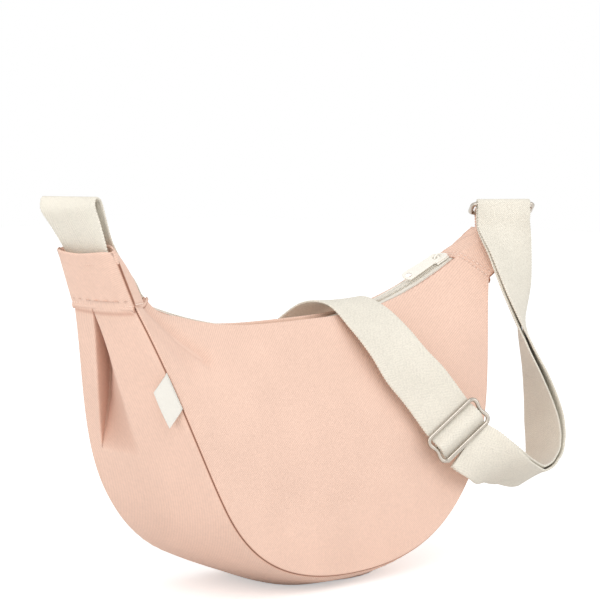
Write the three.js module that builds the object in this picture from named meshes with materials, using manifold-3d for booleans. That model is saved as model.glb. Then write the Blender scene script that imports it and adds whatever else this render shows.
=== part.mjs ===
// Half-moon shoulder bag: a pleated canvas body with a curved zip and a webbing strap.
// Millimetres, +Z up. X runs along the width, the front panel faces -Y, and the origin is the
// middle of the flat of the base, on the surface that the bag stands on.
import * as THREE from 'three';
import { mergeVertices } from 'three/addons/utils/BufferGeometryUtils.js';
import Module from 'manifold-3d';

const wasm = await Module();
wasm.setup();

// Cloth and clearances
const CANVAS = 1.2;
const LINING = 0.6;
const SEAM_GAP = 0.4;
const LINING_MARGIN = 9;
const LINING_EASE = 3;

// Side seam in the XZ plane, from the foot of a tab down to the middle of the base
const TAB_FOOT_X = 181;
const TAB_FOOT_Z = 201;
const SEAM_UPPER_HANDLE = 110;
const SEAM_UPPER_LEAN = THREE.MathUtils.degToRad(23.4);
const SEAM_LOWER_HANDLE = 142;
const SEAM_BASE_Z = 9;

// Gusset: depth of the bag and how far the cloth swells past the seams
const BODY_DEPTH = 115;
const TAB_FOOT_WIDTH = 58;
const DEPTH_RAMP = 0.5;
const BASE_SWELL = 13;
const BASE_SWELL_RUN = [0.03, 0.2];
const SIDE_SWELL = 5;
const FOOT_DROP = 11;
const FOOT_START = [0, 0.1];
const FOOT_END = [0.16, 0.3];
const FOOT_FRONT = [-45, -15];
const FOOT_BACK = [35, 52];
const END_SWELL = 3;
const PLEAT_DEPTH = 12;
const PLEAT_MOUTH = 5;
const PLEAT_SPREAD = 34;
const PLEAT_RUN = 0.4;
const PLEAT_OFFSET = 10;
const GUSSET_TIP_EASE = 1.6;

// Front and back panels
const PANEL_SWELL = 16;
const PANEL_SWELL_SKEW = 0.85;
const PANEL_END_SWELL = 1.5;

// Zip opening: an arc in the XZ plane that sags towards the left
const ZIP_RADIUS = 400;
const ZIP_LOW_X = -13;
const ZIP_LOW_Z = 175.6;
const ZIP_LEFT_X = -152;
const ZIP_RIGHT_X = 166;
const MOUTH_GAP = 18;

// Tabs: each leans outwards; the strap's weight draws the tip of the right one forwards and turns it
const LEFT_TIP = { x: 195, y: 0, z: 237, width: 52, hollow: -2, turn: 0 };
const RIGHT_TIP = { x: 205, y: -18.5, z: 237.5, width: 43, hollow: 1, turn: THREE.MathUtils.degToRad(50) };
const TAB_BULGE = 6.2;

// Zip chain, slider and pull
const TAPE = 0.8;
const TAPE_EDGE = 1.8;
const COIL_WIDTH = 3;
const COIL_HEIGHT = 1.5;
const COIL_PITCH = 5;
const COIL_MESH = 0.5;
const CHAIN_GAP = 0.3;
const SLIDER_X = 156;
const SLIDER_LENGTH = 16;
const SLIDER_WIDTH = 11;
const SLIDER_PLATE = 1.2;
const SLIDER_FLANGE = 1.2;
const SLIDER_FIT = 0.4;
const POST_LENGTH = 3;
const POST_WIDTH = 2.2;
const BAIL_WIDTH = 2;
const BAIL_SPAN = 9;
const BAIL_HEIGHT = 3.2;
const BAIL_WALL = 1.2;
const PULL_LENGTH = 40;
const PULL_WIDTH = 8;
const PULL_THICKNESS = 1.2;
const PULL_BAR = 1.4;
const PULL_WINDOW = 5;
const PULL_EYE = 4;
const PULL_LIFT = THREE.MathUtils.degToRad(1);

// Webbing strap
const WEB_WIDTH = 40;
const WEB = 1.6;
const WEB_GAP = 0.4;
const PLY_START = 1.5;
const PLY_STRAIGHT = 6;
const STRAP_ROOT = 26;
const CHAPE_WIDTH = 28;
const CHAPE_ROOT = 3;

// Strap ring and its chape
const RING_WIRE = 3.4;
const RING_WIDTH = 45.5;
const RING_LENGTH = 15;
const RING_CORNER = 3.5;
const RING_REACH = 11;
const RING_TILT = THREE.MathUtils.degToRad(28);

// Strap adjuster: a flat wire frame with a set-back middle bar
const ADJUSTER_WIRE = 3;
const ADJUSTER_BAR = 2.8;
const ADJUSTER_WIDTH = 46.6;
const ADJUSTER_LENGTH = 21;
const ADJUSTER_CORNER = 4;
const ADJUSTER_WAIST = 1.4;
const ADJUSTER_SETBACK = 2;
const ADJUSTER_CENTRE = new THREE.Vector3(93, -70.5, 100);
const STRAP_RISE = new THREE.Vector3(-0.55, 0.3, 0.78).normalize();
const STRAP_ACROSS = new THREE.Vector3(0.72, -0.3, 0.62);

// Side label, caught in the front seam
const LABEL_LENGTH = 27;
const LABEL_REACH = 12;
const LABEL_LIFT = 4;
const LABEL_DROOP = THREE.MathUtils.degToRad(55);
const LABEL = 0.6;
const LABEL_PLACE = 0.815;

const CANVAS_COLOUR = 0xf3cbb6;
const LINING_COLOUR = 0xf0cdb8;
const WEB_COLOUR = 0xeee6d6;
const ZIP_COLOUR = 0xf1eadf;
const METAL_COLOUR = 0xd9d3c8;
const LABEL_COLOUR = 0xf7f3ea;

const bag = new THREE.Group();

function addMesh(parent, name, geometry, colour, roughness = 0.85, metalness = 0) {
  const material = new THREE.MeshStandardMaterial({ color: colour, roughness, metalness });
  const mesh = new THREE.Mesh(geometry, material);
  mesh.name = name;
  parent.add(mesh);
  return mesh;
}

function mix(a, b, t) {
  return a + (b - a) * t;
}

function meshFrom(points, triangles) {
  const geometry = new THREE.BufferGeometry();
  const flat = points.flatMap((point) => [point.x, point.y, point.z]);
  geometry.setAttribute('position', new THREE.Float32BufferAttribute(flat, 3));
  geometry.setIndex(triangles.flat());
  return geometry;
}

// A closed sheet of cloth: a surface over the unit square, set back by inset along its normal
function sheet(surface, columns, rows, { wall, inset = 0, side = 1 }) {
  const step = 1e-3;
  const normalAt = (u, v) => {
    const u0 = Math.max(0, u - step);
    const u1 = Math.min(1, u + step);
    const v0 = Math.max(0, v - step);
    const v1 = Math.min(1, v + step);
    const alongU = surface(u1, v).sub(surface(u0, v));
    const alongV = surface(u, v1).sub(surface(u, v0));
    return alongU.cross(alongV).normalize().multiplyScalar(side);
  };
  const points = [];
  for (const depth of [inset, inset + wall]) {
    for (let i = 0; i <= columns; i++) {
      for (let j = 0; j <= rows; j++) {
        const u = i / columns;
        const v = j / rows;
        points.push(surface(u, v).addScaledVector(normalAt(u, v), -depth));
      }
    }
  }
  const layer = (columns + 1) * (rows + 1);
  const at = (i, j, k) => k * layer + i * (rows + 1) + j;
  const triangles = [];
  const quad = (a, b, c, d) => {
    if (side > 0) triangles.push([a, b, c], [a, c, d]);
    else triangles.push([a, c, b], [a, d, c]);
  };
  for (let i = 0; i < columns; i++) {
    for (let j = 0; j < rows; j++) {
      quad(at(i, j, 0), at(i + 1, j, 0), at(i + 1, j + 1, 0), at(i, j + 1, 0));
      quad(at(i, j, 1), at(i, j + 1, 1), at(i + 1, j + 1, 1), at(i + 1, j, 1));
    }
    quad(at(i, 0, 0), at(i, 0, 1), at(i + 1, 0, 1), at(i + 1, 0, 0));
    quad(at(i, rows, 0), at(i + 1, rows, 0), at(i + 1, rows, 1), at(i, rows, 1));
  }
  for (let j = 0; j < rows; j++) {
    quad(at(0, j, 0), at(0, j + 1, 0), at(0, j + 1, 1), at(0, j, 1));
    quad(at(columns, j, 0), at(columns, j, 1), at(columns, j + 1, 1), at(columns, j + 1, 0));
  }
  return meshFrom(points, triangles);
}

// A closed bar whose four corners are given at each station
function barThrough(stations) {
  const points = stations.flat();
  const triangles = [];
  const quad = (a, b, c, d) => triangles.push([a, b, c], [a, c, d]);
  for (let i = 0; i + 1 < stations.length; i++) {
    for (let k = 0; k < 4; k++) {
      const next = (k + 1) % 4;
      const corners = [4 * i + k, 4 * i + next, 4 * (i + 1) + next, 4 * (i + 1) + k];
      // Opposite faces split along the same diagonal, so a twist never brings them together
      if (k > 1) corners.push(corners.shift());
      quad(...corners);
    }
  }
  const last = 4 * (stations.length - 1);
  quad(3, 2, 1, 0);
  quad(last, last + 1, last + 2, last + 3);
  return meshFrom(points, triangles);
}

// Flat webbing along a path; each frame has a centre, a direction across and a set-off
function webbing(frames, steps, side = 0, width = WEB_WIDTH) {
  const centres = new THREE.CatmullRomCurve3(frames.map((frame) => frame.at), false, 'centripetal');
  const count = frames.length - 1;
  const spans = frames.map(({ across, offset }, index) => {
    const tangent = centres.getTangent(index / count);
    return { across: across.clone().addScaledVector(tangent, -across.dot(tangent)).normalize(), offset };
  });
  const stations = [];
  for (let i = 0; i <= steps; i++) {
    const t = i / steps;
    const tangent = centres.getTangent(t);
    const index = Math.min(count - 1, Math.floor(t * count));
    const part = t * count - index;
    const across = spans[index].across.clone().lerp(spans[index + 1].across, part).normalize();
    const out = tangent.clone().cross(across).normalize();
    const offset = mix(spans[index].offset, spans[index + 1].offset, part);
    const middle = centres.getPoint(t).addScaledVector(out, offset * side);
    const corner = (a, b) =>
      middle.clone().addScaledVector(across, (a * width) / 2).addScaledVector(out, (b * WEB) / 2);
    stations.push([corner(-1, -1), corner(1, -1), corner(1, 1), corner(-1, 1)]);
  }
  return barThrough(stations);
}

function frame(x, y, z, across, offset = 0) {
  return { at: new THREE.Vector3(x, y, z), across: new THREE.Vector3(...across), offset };
}

// Round wire bent along a closed flat curve in its local XY plane
function wireLoop(points, diameter, sides = 8) {
  const ring = [];
  const count = points.length;
  points.forEach((point, i) => {
    const before = points[(i + count - 1) % count];
    const after = points[(i + 1) % count];
    const tangent = after.clone().sub(before).normalize();
    const out = new THREE.Vector3(tangent.y, -tangent.x, 0);
    for (let k = 0; k < sides; k++) {
      const angle = ((k + 0.5) / sides) * 2 * Math.PI;
      ring.push(point.clone()
        .addScaledVector(out, (Math.cos(angle) * diameter) / 2)
        .add(new THREE.Vector3(0, 0, (Math.sin(angle) * diameter) / 2)));
    }
  });
  const triangles = [];
  for (let i = 0; i < count; i++) {
    for (let k = 0; k < sides; k++) {
      const a = i * sides + k;
      const b = i * sides + ((k + 1) % sides);
      const c = ((i + 1) % count) * sides + ((k + 1) % sides);
      const d = ((i + 1) % count) * sides + k;
      triangles.push([a, d, c], [a, c, b]);
    }
  }
  return meshFrom(ring, triangles);
}

// Centre line of a rounded rectangle; a waist draws the two long-axis ends in at their middle
function roundedLoop(width, length, radius, waist = 0) {
  const points = [];
  const cornerSteps = 4;
  const corners = [[1, 1, 0], [-1, 1, 1], [-1, -1, 2], [1, -1, 3]];
  for (const [sx, sy, turn] of corners) {
    for (let i = 0; i <= cornerSteps; i++) {
      const angle = (turn + i / cornerSteps) * (Math.PI / 2);
      points.push(new THREE.Vector3(
        sx * (width / 2 - radius) + radius * Math.cos(angle),
        sy * (length / 2 - radius) + radius * Math.sin(angle),
        0,
      ));
    }
    const drawnIn = turn === 0 || turn === 2 ? [] : [1, 2, 1];
    const straight = length - 2 * radius;
    drawnIn.forEach((amount, k) => {
      if (waist === 0) return;
      const y = sy * (straight / 2) * (1 - (k + 1) / 2);
      points.push(new THREE.Vector3(sx * (width / 2 - (amount * waist) / 2), y, 0));
    });
  }
  return points;
}

function solidOf(geometry) {
  const bare = new THREE.BufferGeometry();
  bare.setAttribute('position', geometry.getAttribute('position').clone());
  if (geometry.index) bare.setIndex(geometry.index.clone());
  const merged = mergeVertices(bare, 1e-4);
  return new wasm.Manifold(new wasm.Mesh({
    numProp: 3,
    vertProperties: new Float32Array(merged.getAttribute('position').array),
    triVerts: new Uint32Array(merged.index.array),
  }));
}

function geometryOf(solid) {
  const mesh = solid.getMesh();
  const geometry = new THREE.BufferGeometry();
  geometry.setAttribute('position', new THREE.BufferAttribute(new Float32Array(mesh.vertProperties), 3));
  geometry.setIndex(new THREE.BufferAttribute(new Uint32Array(mesh.triVerts), 1));
  return geometry;
}

function boxAt(sizeX, sizeY, sizeZ, x, y, z) {
  return new THREE.BoxGeometry(sizeX, sizeY, sizeZ).translate(x, y, z);
}

// The seam runs from one tab foot (u = -1) under the bag to the other (u = 1)
const seamCurve = new THREE.CubicBezierCurve(
  new THREE.Vector2(TAB_FOOT_X, TAB_FOOT_Z),
  new THREE.Vector2(
    TAB_FOOT_X - SEAM_UPPER_HANDLE * Math.sin(SEAM_UPPER_LEAN),
    TAB_FOOT_Z - SEAM_UPPER_HANDLE * Math.cos(SEAM_UPPER_LEAN),
  ),
  new THREE.Vector2(SEAM_LOWER_HANDLE, SEAM_BASE_Z),
  new THREE.Vector2(0, SEAM_BASE_Z),
);

function seamPoint(u) {
  const point = seamCurve.getPoint(1 - Math.abs(u));
  return new THREE.Vector2(Math.sign(u) * point.x, point.y);
}

function seamOutward(u) {
  const tangent = seamCurve.getTangent(1 - Math.abs(u));
  return new THREE.Vector2(-tangent.y * (u < 0 ? -1 : 1), tangent.x);
}

function halfDepth(u) {
  const ramp = Math.min(1, (1 - Math.abs(u)) / DEPTH_RAMP);
  return mix(TAB_FOOT_WIDTH, BODY_DEPTH, Math.sin((ramp * Math.PI) / 2)) / 2;
}

function zipHeight(x) {
  return ZIP_LOW_Z + ZIP_RADIUS - Math.sqrt(ZIP_RADIUS ** 2 - (x - ZIP_LOW_X) ** 2);
}

function mouthPlace(u) {
  return u < 0 ? -u * ZIP_LEFT_X : u * ZIP_RIGHT_X;
}

// Front or back panel (facing = -1 or 1), from the mouth (v = 0) to the seam (v = 1)
function panelPoint(u, v, facing) {
  const mouthX = mouthPlace(u);
  const seam = seamPoint(u);
  const point = new THREE.Vector3(
    mix(mouthX, seam.x, v),
    facing * mix(MOUTH_GAP / 2, halfDepth(u), v),
    mix(zipHeight(mouthX), seam.y, v),
  );
  const swell = mix(PANEL_END_SWELL, PANEL_SWELL, 1 - u * u) * Math.sin(Math.PI * v ** PANEL_SWELL_SKEW);
  point.y += facing * swell;
  point.z += (swell * MOUTH_GAP) / 2 / BODY_DEPTH;
  return point;
}

const panelEnd = 1 - SEAM_GAP / ZIP_RIGHT_X;

function panel(facing) {
  const surface = (s, v) => panelPoint(mix(-panelEnd, panelEnd, s), v, facing);
  return sheet(surface, 24, 8, { wall: CANVAS, side: facing });
}

function panelLining(facing) {
  const end = panelEnd - LINING_MARGIN / ZIP_RIGHT_X;
  const surface = (s, v) => {
    const u = mix(-end, end, s);
    const drop = panelPoint(u, 0, facing).distanceTo(panelPoint(u, 1, facing));
    const edge = LINING_MARGIN / drop;
    return panelPoint(u, mix(edge, 1 - edge, v), facing);
  };
  return sheet(surface, 16, 5, { wall: LINING, inset: LINING_EASE, side: facing });
}

// Gusset: swells out between the seams, is pleated under each tab and flat where it stands
function gussetPoint(u, v, edge, rows) {
  const half = halfDepth(u) - edge - GUSSET_TIP_EASE * u ** 4;
  const fall = (1 - Math.abs(u)) / PLEAT_RUN;
  const open = Math.max(0, 1 - fall);
  const pleatHalf = mix(PLEAT_MOUTH, PLEAT_SPREAD, Math.min(1, fall)) / 2;
  const y = acrossGusset(v, half, pleatHalf, rows);
  const aside = THREE.MathUtils.smoothstep(Math.abs(u), ...BASE_SWELL_RUN);
  const middle = mix(BASE_SWELL, SIDE_SWELL, aside);
  const swell = mix(END_SWELL, middle, Math.sin(((1 - Math.abs(u)) * Math.PI) / 2));
  const groove = PLEAT_DEPTH * open * Math.max(0, 1 - Math.abs(y - PLEAT_OFFSET) / pleatHalf);
  const out = swell * (1 - (y / half) ** 2) + footDrop(u, y) - groove;
  const seam = seamPoint(u).addScaledVector(seamOutward(u), out);
  return new THREE.Vector3(seam.x, y, Math.max(0, seam.y));
}

// The strap loads the bag's right side, so the cloth it stands on reaches further that way
function footDrop(u, y) {
  const { smoothstep } = THREE.MathUtils;
  const along = smoothstep(u, ...FOOT_START) * (1 - smoothstep(u, ...FOOT_END));
  return FOOT_DROP * along * smoothstep(y, ...FOOT_FRONT) * (1 - smoothstep(y, ...FOOT_BACK));
}

// The middle of the strip's columns follows the edges and the bottom of the pleat
function acrossGusset(v, half, pleatHalf, rows) {
  const stops = [-half, PLEAT_OFFSET - pleatHalf, PLEAT_OFFSET, PLEAT_OFFSET + pleatHalf, half];
  const cells = [0.5 - 1 / rows, 0.5, 0.5 + 1 / rows, 1];
  let start = 0;
  for (let i = 0; i < cells.length; i++) {
    if (v <= cells[i]) return mix(stops[i], stops[i + 1], (v - start) / (cells[i] - start));
    start = cells[i];
  }
  return half;
}

function gussetStrip(edge, end, columns, rows, cloth) {
  const surface = (s, v) => gussetPoint(mix(-end, end, s), v, edge, rows);
  return sheet(surface, columns, rows, { ...cloth, side: -1 });
}

const gussetEdge = CANVAS + SEAM_GAP;
const gussetEnd = 1 - SEAM_GAP / (3 * SEAM_UPPER_HANDLE);

addMesh(bag, 'front_panel', panel(-1), CANVAS_COLOUR);
addMesh(bag, 'back_panel', panel(1), CANVAS_COLOUR);
const gussetCloth = gussetStrip(gussetEdge, gussetEnd, 40, 10, { wall: CANVAS });
addMesh(bag, 'gusset', gussetCloth, CANVAS_COLOUR);
addMesh(bag, 'lining_front', panelLining(-1), LINING_COLOUR);
addMesh(bag, 'lining_back', panelLining(1), LINING_COLOUR);
const liningEnd = gussetEnd - (2 * LINING_MARGIN) / (3 * SEAM_UPPER_HANDLE);
const liningEdge = LINING_EASE + LINING + SEAM_GAP;
const liningCloth = gussetStrip(liningEdge, liningEnd, 30, 6, { wall: LINING, inset: LINING_EASE });
addMesh(bag, 'lining_gusset', liningCloth, LINING_COLOUR);

// Tabs: an outer and an inner piece sewn together down both edges, open at the tip for webbing
function tabAxis(side, tip) {
  const foot = new THREE.Vector3(side * (TAB_FOOT_X - CANVAS), 0, TAB_FOOT_Z + SEAM_GAP);
  const end = new THREE.Vector3(side * tip.x, tip.y, tip.z);
  const rise = end.clone().sub(foot).normalize();
  const across = new THREE.Vector3(-Math.sin(tip.turn), Math.cos(tip.turn), 0);
  const outward = across.clone().cross(rise).multiplyScalar(side).normalize();
  const level = new THREE.Vector3(rise.x, 0, rise.z).normalize();
  const footOutward = new THREE.Vector3(side * level.z, 0, -side * level.x);
  const tipRise = outward.clone().cross(across).multiplyScalar(side);
  return { foot, end, rise, tipRise, across, outward, level, footOutward };
}

const tabSkin = CANVAS + SEAM_GAP;

function tabFullness(q) {
  return TAB_BULGE * (1 - q ** 4);
}

// Place on a tab: along its middle, across its width and off its middle plane, which turn with the height
function tabPoint({ end, outward, footOutward }, tip, low, q, a, setOff) {
  const reach = (q * mix(TAB_FOOT_WIDTH, tip.width, a)) / 2;
  const across = new THREE.Vector3(-Math.sin(tip.turn * a), Math.cos(tip.turn * a), 0);
  const out = footOutward.clone().lerp(outward, a).normalize();
  return low.clone().lerp(end, a).addScaledVector(across, reach).addScaledVector(out, setOff);
}

function outerTab(side, tip) {
  const axis = tabAxis(side, tip);
  const surface = (s, a) => {
    const q = mix(-1, 1, s);
    const setOff = tabSkin + mix(END_SWELL * (1 - q * q), tabFullness(q), a);
    const point = tabPoint(axis, tip, axis.foot, q, a, setOff);
    const fall = axis.footOutward.z * (tabSkin + END_SWELL * (1 - q * q)) * (1 - a);
    point.z -= fall;
    return point;
  };
  return sheet(surface, 8, 6, { wall: CANVAS, side });
}

function innerTab(side, tip) {
  const axis = tabAxis(side, tip);
  const flat = MOUTH_GAP / TAB_FOOT_WIDTH;
  const corner = axis.foot.clone().addScaledVector(axis.level, 2 * SEAM_GAP);
  const zipEndX = mouthPlace(side);
  const zipEnd = new THREE.Vector3(zipEndX + side * SEAM_GAP, 0, zipHeight(zipEndX) + SEAM_GAP);
  const surface = (s, a) => {
    const q = mix(-1, 1, s);
    const slope = Math.max(0, (Math.abs(q) - flat) / (1 - flat));
    const hollow = tip.hollow * (1 - slope) * 4 * a * (1 - a) * (1 - a / 2);
    const setOff = mix(tabSkin * slope, tabSkin + tabFullness(q), a) - hollow;
    return tabPoint(axis, tip, zipEnd.clone().lerp(corner, slope), q, a, -setOff);
  };
  return sheet(surface, 12, 6, { wall: CANVAS, side: -side });
}

addMesh(bag, 'left_tab_outer', outerTab(-1, LEFT_TIP), CANVAS_COLOUR);
addMesh(bag, 'left_tab_inner', innerTab(-1, LEFT_TIP), CANVAS_COLOUR);
addMesh(bag, 'right_tab_outer', outerTab(1, RIGHT_TIP), CANVAS_COLOUR);
addMesh(bag, 'right_tab_inner', innerTab(1, RIGHT_TIP), CANVAS_COLOUR);

// Zip: two tapes, each with its half of the coil, in the local frame of the arc
const arcCentreZ = ZIP_LOW_Z + ZIP_RADIUS;

function onArc(angle, y, height) {
  const radius = ZIP_RADIUS - height;
  const x = ZIP_LOW_X + radius * Math.sin(angle);
  return new THREE.Vector3(x, y, arcCentreZ - radius * Math.cos(angle));
}

function arcAngle(x) {
  return Math.asin((x - ZIP_LOW_X) / ZIP_RADIUS);
}

const leftAngle = arcAngle(ZIP_LEFT_X + SEAM_GAP);
const rightAngle = arcAngle(ZIP_RIGHT_X - SEAM_GAP);
const tapeOuter = MOUTH_GAP / 2 - CANVAS - SEAM_GAP;
const tapeTop = -SEAM_GAP / 2;
const coilBase = tapeTop + CHAIN_GAP;
const coilTop = coilBase + COIL_HEIGHT;
const tapeBottom = tapeTop - TAPE;

function barAlongArc(angles, edges, low, high, facing) {
  const stations = angles.map((angle, i) => {
    const [a, b] = facing < 0 ? [-edges[i][1], -edges[i][0]] : edges[i];
    return [onArc(angle, a, low), onArc(angle, b, low), onArc(angle, b, high), onArc(angle, a, high)];
  });
  return barThrough(stations);
}

function zipTape(facing) {
  const steps = 28;
  const angles = Array.from({ length: steps + 1 }, (_, i) => mix(leftAngle, rightAngle, i / steps));
  return barAlongArc(angles, angles.map(() => [TAPE_EDGE, tapeOuter]), tapeBottom, tapeTop, facing);
}

// The coil halves mesh like two combs, up to the post of the slider
const sliderAngle = arcAngle(SLIDER_X);
const postInset = SLIDER_LENGTH / 2 - POST_LENGTH;
const coilEndAngle = sliderAngle + (postInset - CHAIN_GAP) / ZIP_RADIUS;

function zipCoil(facing) {
  const length = (coilEndAngle - leftAngle) * ZIP_RADIUS;
  const count = Math.floor(length / COIL_PITCH) * 2;
  const angles = Array.from({ length: count + 1 }, (_, i) => mix(leftAngle, coilEndAngle, i / count));
  const inner = angles.map((_, i) => {
    const reach = i % 2 === 0 ? -COIL_MESH : COIL_MESH;
    return facing < 0 ? -reach : reach;
  });
  const edges = inner.map((reach) => [CHAIN_GAP / 2 + reach, COIL_WIDTH]);
  return barAlongArc(angles, edges, coilBase, coilTop, facing);
}

addMesh(bag, 'zip_tape_front', zipTape(-1), ZIP_COLOUR);
addMesh(bag, 'zip_tape_back', zipTape(1), ZIP_COLOUR);
addMesh(bag, 'zip_coil_front', zipCoil(-1), ZIP_COLOUR, 0.5);
addMesh(bag, 'zip_coil_back', zipCoil(1), ZIP_COLOUR, 0.5);

// Slider: two plates joined by a post, flanges that hold the coil, and a bail for the pull
const topPlate = coilTop + SLIDER_FIT;
const lowPlate = tapeBottom - SLIDER_FIT;

function zipSlider() {
  const plate = (z) => boxAt(SLIDER_LENGTH, SLIDER_WIDTH, SLIDER_PLATE, 0, 0, z);
  const flangeLow = tapeTop + SLIDER_FIT;
  const flange = (facing) => boxAt(
    SLIDER_LENGTH,
    SLIDER_FLANGE,
    topPlate - flangeLow + SLIDER_PLATE / 2,
    0,
    facing * (COIL_WIDTH + SLIDER_FIT + SLIDER_FLANGE / 2),
    (topPlate + flangeLow + SLIDER_PLATE / 2) / 2,
  );
  const post = boxAt(POST_LENGTH, POST_WIDTH, topPlate - lowPlate + SLIDER_PLATE,
    SLIDER_LENGTH / 2 - POST_LENGTH / 2, 0, (topPlate + lowPlate) / 2);
  const arch = new THREE.Shape();
  arch.absarc(0, 0, BAIL_SPAN / 2, 0, Math.PI, false);
  arch.lineTo(-BAIL_SPAN / 2, -SLIDER_PLATE);
  arch.lineTo(BAIL_SPAN / 2, -SLIDER_PLATE);
  const eye = new THREE.Path();
  eye.absarc(0, 0, BAIL_SPAN / 2 - BAIL_WALL, 0, Math.PI, false);
  arch.holes.push(eye);
  const bail = new THREE.ExtrudeGeometry(arch, { depth: BAIL_WIDTH, bevelEnabled: false, curveSegments: 8 });
  bail.translate(0, 0, -BAIL_WIDTH / 2).rotateX(Math.PI / 2);
  bail.scale(1, 1, BAIL_HEIGHT / (BAIL_SPAN / 2)).translate(0, 0, topPlate + SLIDER_PLATE);
  let body = solidOf(plate(topPlate + SLIDER_PLATE / 2)).add(solidOf(plate(lowPlate - SLIDER_PLATE / 2)));
  body = body.add(solidOf(flange(-1))).add(solidOf(flange(1))).add(solidOf(post)).add(solidOf(bail));
  return geometryOf(body);
}

const sliderSpot = new THREE.Group();
sliderSpot.position.copy(onArc(sliderAngle, 0, 0));
sliderSpot.rotation.y = -sliderAngle;
bag.add(sliderSpot);
addMesh(sliderSpot, 'zip_slider', zipSlider(), ZIP_COLOUR, 0.45);

// Pull: a long flat tongue with a window for the bail and an eye near its round end
function zipPull() {
  const half = PULL_WIDTH / 2;
  const outline = new THREE.Shape();
  outline.moveTo(PULL_BAR / 2, -half);
  outline.lineTo(PULL_BAR / 2, half);
  outline.lineTo(-PULL_LENGTH + half, half);
  outline.absarc(-PULL_LENGTH + half, 0, half, Math.PI / 2, (3 * Math.PI) / 2, false);
  const window = new THREE.Path();
  const windowHalf = BAIL_WIDTH / 2 + SLIDER_FIT;
  window.moveTo(-PULL_BAR / 2, -windowHalf);
  window.lineTo(-PULL_BAR / 2, windowHalf);
  window.lineTo(-PULL_BAR / 2 - PULL_WINDOW, windowHalf);
  window.lineTo(-PULL_BAR / 2 - PULL_WINDOW, -windowHalf);
  const eye = new THREE.Path();
  eye.absarc(-PULL_LENGTH + half, 0, PULL_EYE / 2, 0, 2 * Math.PI, false);
  outline.holes.push(window, eye);
  const plate = new THREE.ExtrudeGeometry(outline, {
    depth: PULL_THICKNESS,
    bevelEnabled: false,
    curveSegments: 10,
  });
  return geometryOf(solidOf(plate.translate(0, 0, -PULL_THICKNESS / 2)));
}

const pullSpot = new THREE.Group();
const pullReach = Math.hypot(PULL_BAR, PULL_THICKNESS) / 2;
pullSpot.position.set(0, 0, topPlate + SLIDER_PLATE + SLIDER_FIT / 2 + pullReach);
pullSpot.rotation.y = PULL_LIFT;
sliderSpot.add(pullSpot);
addMesh(pullSpot, 'zip_pull', zipPull(), ZIP_COLOUR, 0.45);

// Strap, from the left tab over a short fold, round the back and over the zip to the front
const left = tabAxis(-1, LEFT_TIP);
const acrossY = [0, 1, 0];

function onLeftTab(rise, out) {
  const spot = left.end.clone().addScaledVector(left.rise, rise).addScaledVector(left.outward, out);
  return frame(spot.x, 0, spot.z, acrossY);
}

const backRun = [
  onLeftTab(-STRAP_ROOT, 0),
  onLeftTab(-STRAP_ROOT / 2, 0),
  onLeftTab(0, 0),
  frame(-204, 0, 254, [-0.2, 0.98, 0]),
  frame(-210, 0, 264.5, [-0.31, 0.95, 0]),
  frame(-208.5, 0.5, 269.8, [-0.31, 0.95, 0]),
  frame(-203.2, 2.2, 268.6, [-0.31, 0.95, 0]),
  frame(-195.5, 4.7, 256, [-0.25, 0.97, 0]),
  frame(-187, 7.5, 244, [-0.1, 0.99, 0]),
  frame(-178.5, 13, 235.5, [0.05, 0.99, 0.05]),
  frame(-166, 28, 226.5, [0.08, 0.97, -0.05]),
  frame(-148, 46, 209, [-0.2, 0.85, -0.3]),
  frame(-118, 65, 175, [-0.55, 0.4, -0.65]),
  frame(-62, 75, 140, [-0.26, 0.1, -0.95]),
  frame(-8, 72, 128, [0.25, 0.1, -0.95]),
  frame(32, 53, 157, [0.88, 0.18, -0.4]),
  frame(46, 28, 182, [0.97, 0.17, -0.05]),
  frame(50, -4, 193.4, [0.98, -0.17, 0.06]),
];

// Path of the webbing through the adjuster: height along the strap and set-off from the frame
const strapAcross = STRAP_ACROSS.clone()
  .addScaledVector(STRAP_RISE, -STRAP_ACROSS.dot(STRAP_RISE)).normalize();
const strapOut = strapAcross.clone().cross(STRAP_RISE);
const behindBar = -(ADJUSTER_WIRE / 2 + WEB_GAP + WEB / 2);
const barFold = ADJUSTER_BAR / 2 + WEB_GAP + WEB / 2;
const overBar = -ADJUSTER_SETBACK + barFold + WEB + WEB_GAP;

function onAdjuster(rise, out) {
  const spot = ADJUSTER_CENTRE.clone().addScaledVector(STRAP_RISE, rise).addScaledVector(strapOut, out);
  return { at: spot, across: strapAcross.clone(), offset: 0 };
}

const passHalf = ADJUSTER_LENGTH / 2 + ADJUSTER_WIRE;
const frontRun = [
  frame(50, -4.9, 193.3, [0.98, -0.17, 0.06]),
  frame(52, -25, 181, [0.95, -0.1, 0.25]),
  frame(57, -40, 166.5, [0.92, -0.1, 0.4]),
  onAdjuster(62, behindBar),
  onAdjuster(40, behindBar),
  onAdjuster(passHalf + WEB_GAP, behindBar),
];
const adjusterPass = [
  onAdjuster(passHalf, behindBar),
  onAdjuster(ADJUSTER_LENGTH / 2 - ADJUSTER_WIRE / 2, behindBar),
  onAdjuster(WEB, overBar - WEB_GAP / 2),
  onAdjuster(-WEB, overBar - WEB_GAP / 2),
  onAdjuster(-ADJUSTER_LENGTH / 2 + ADJUSTER_WIRE / 2, behindBar),
  onAdjuster(-passHalf, behindBar),
];

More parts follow.
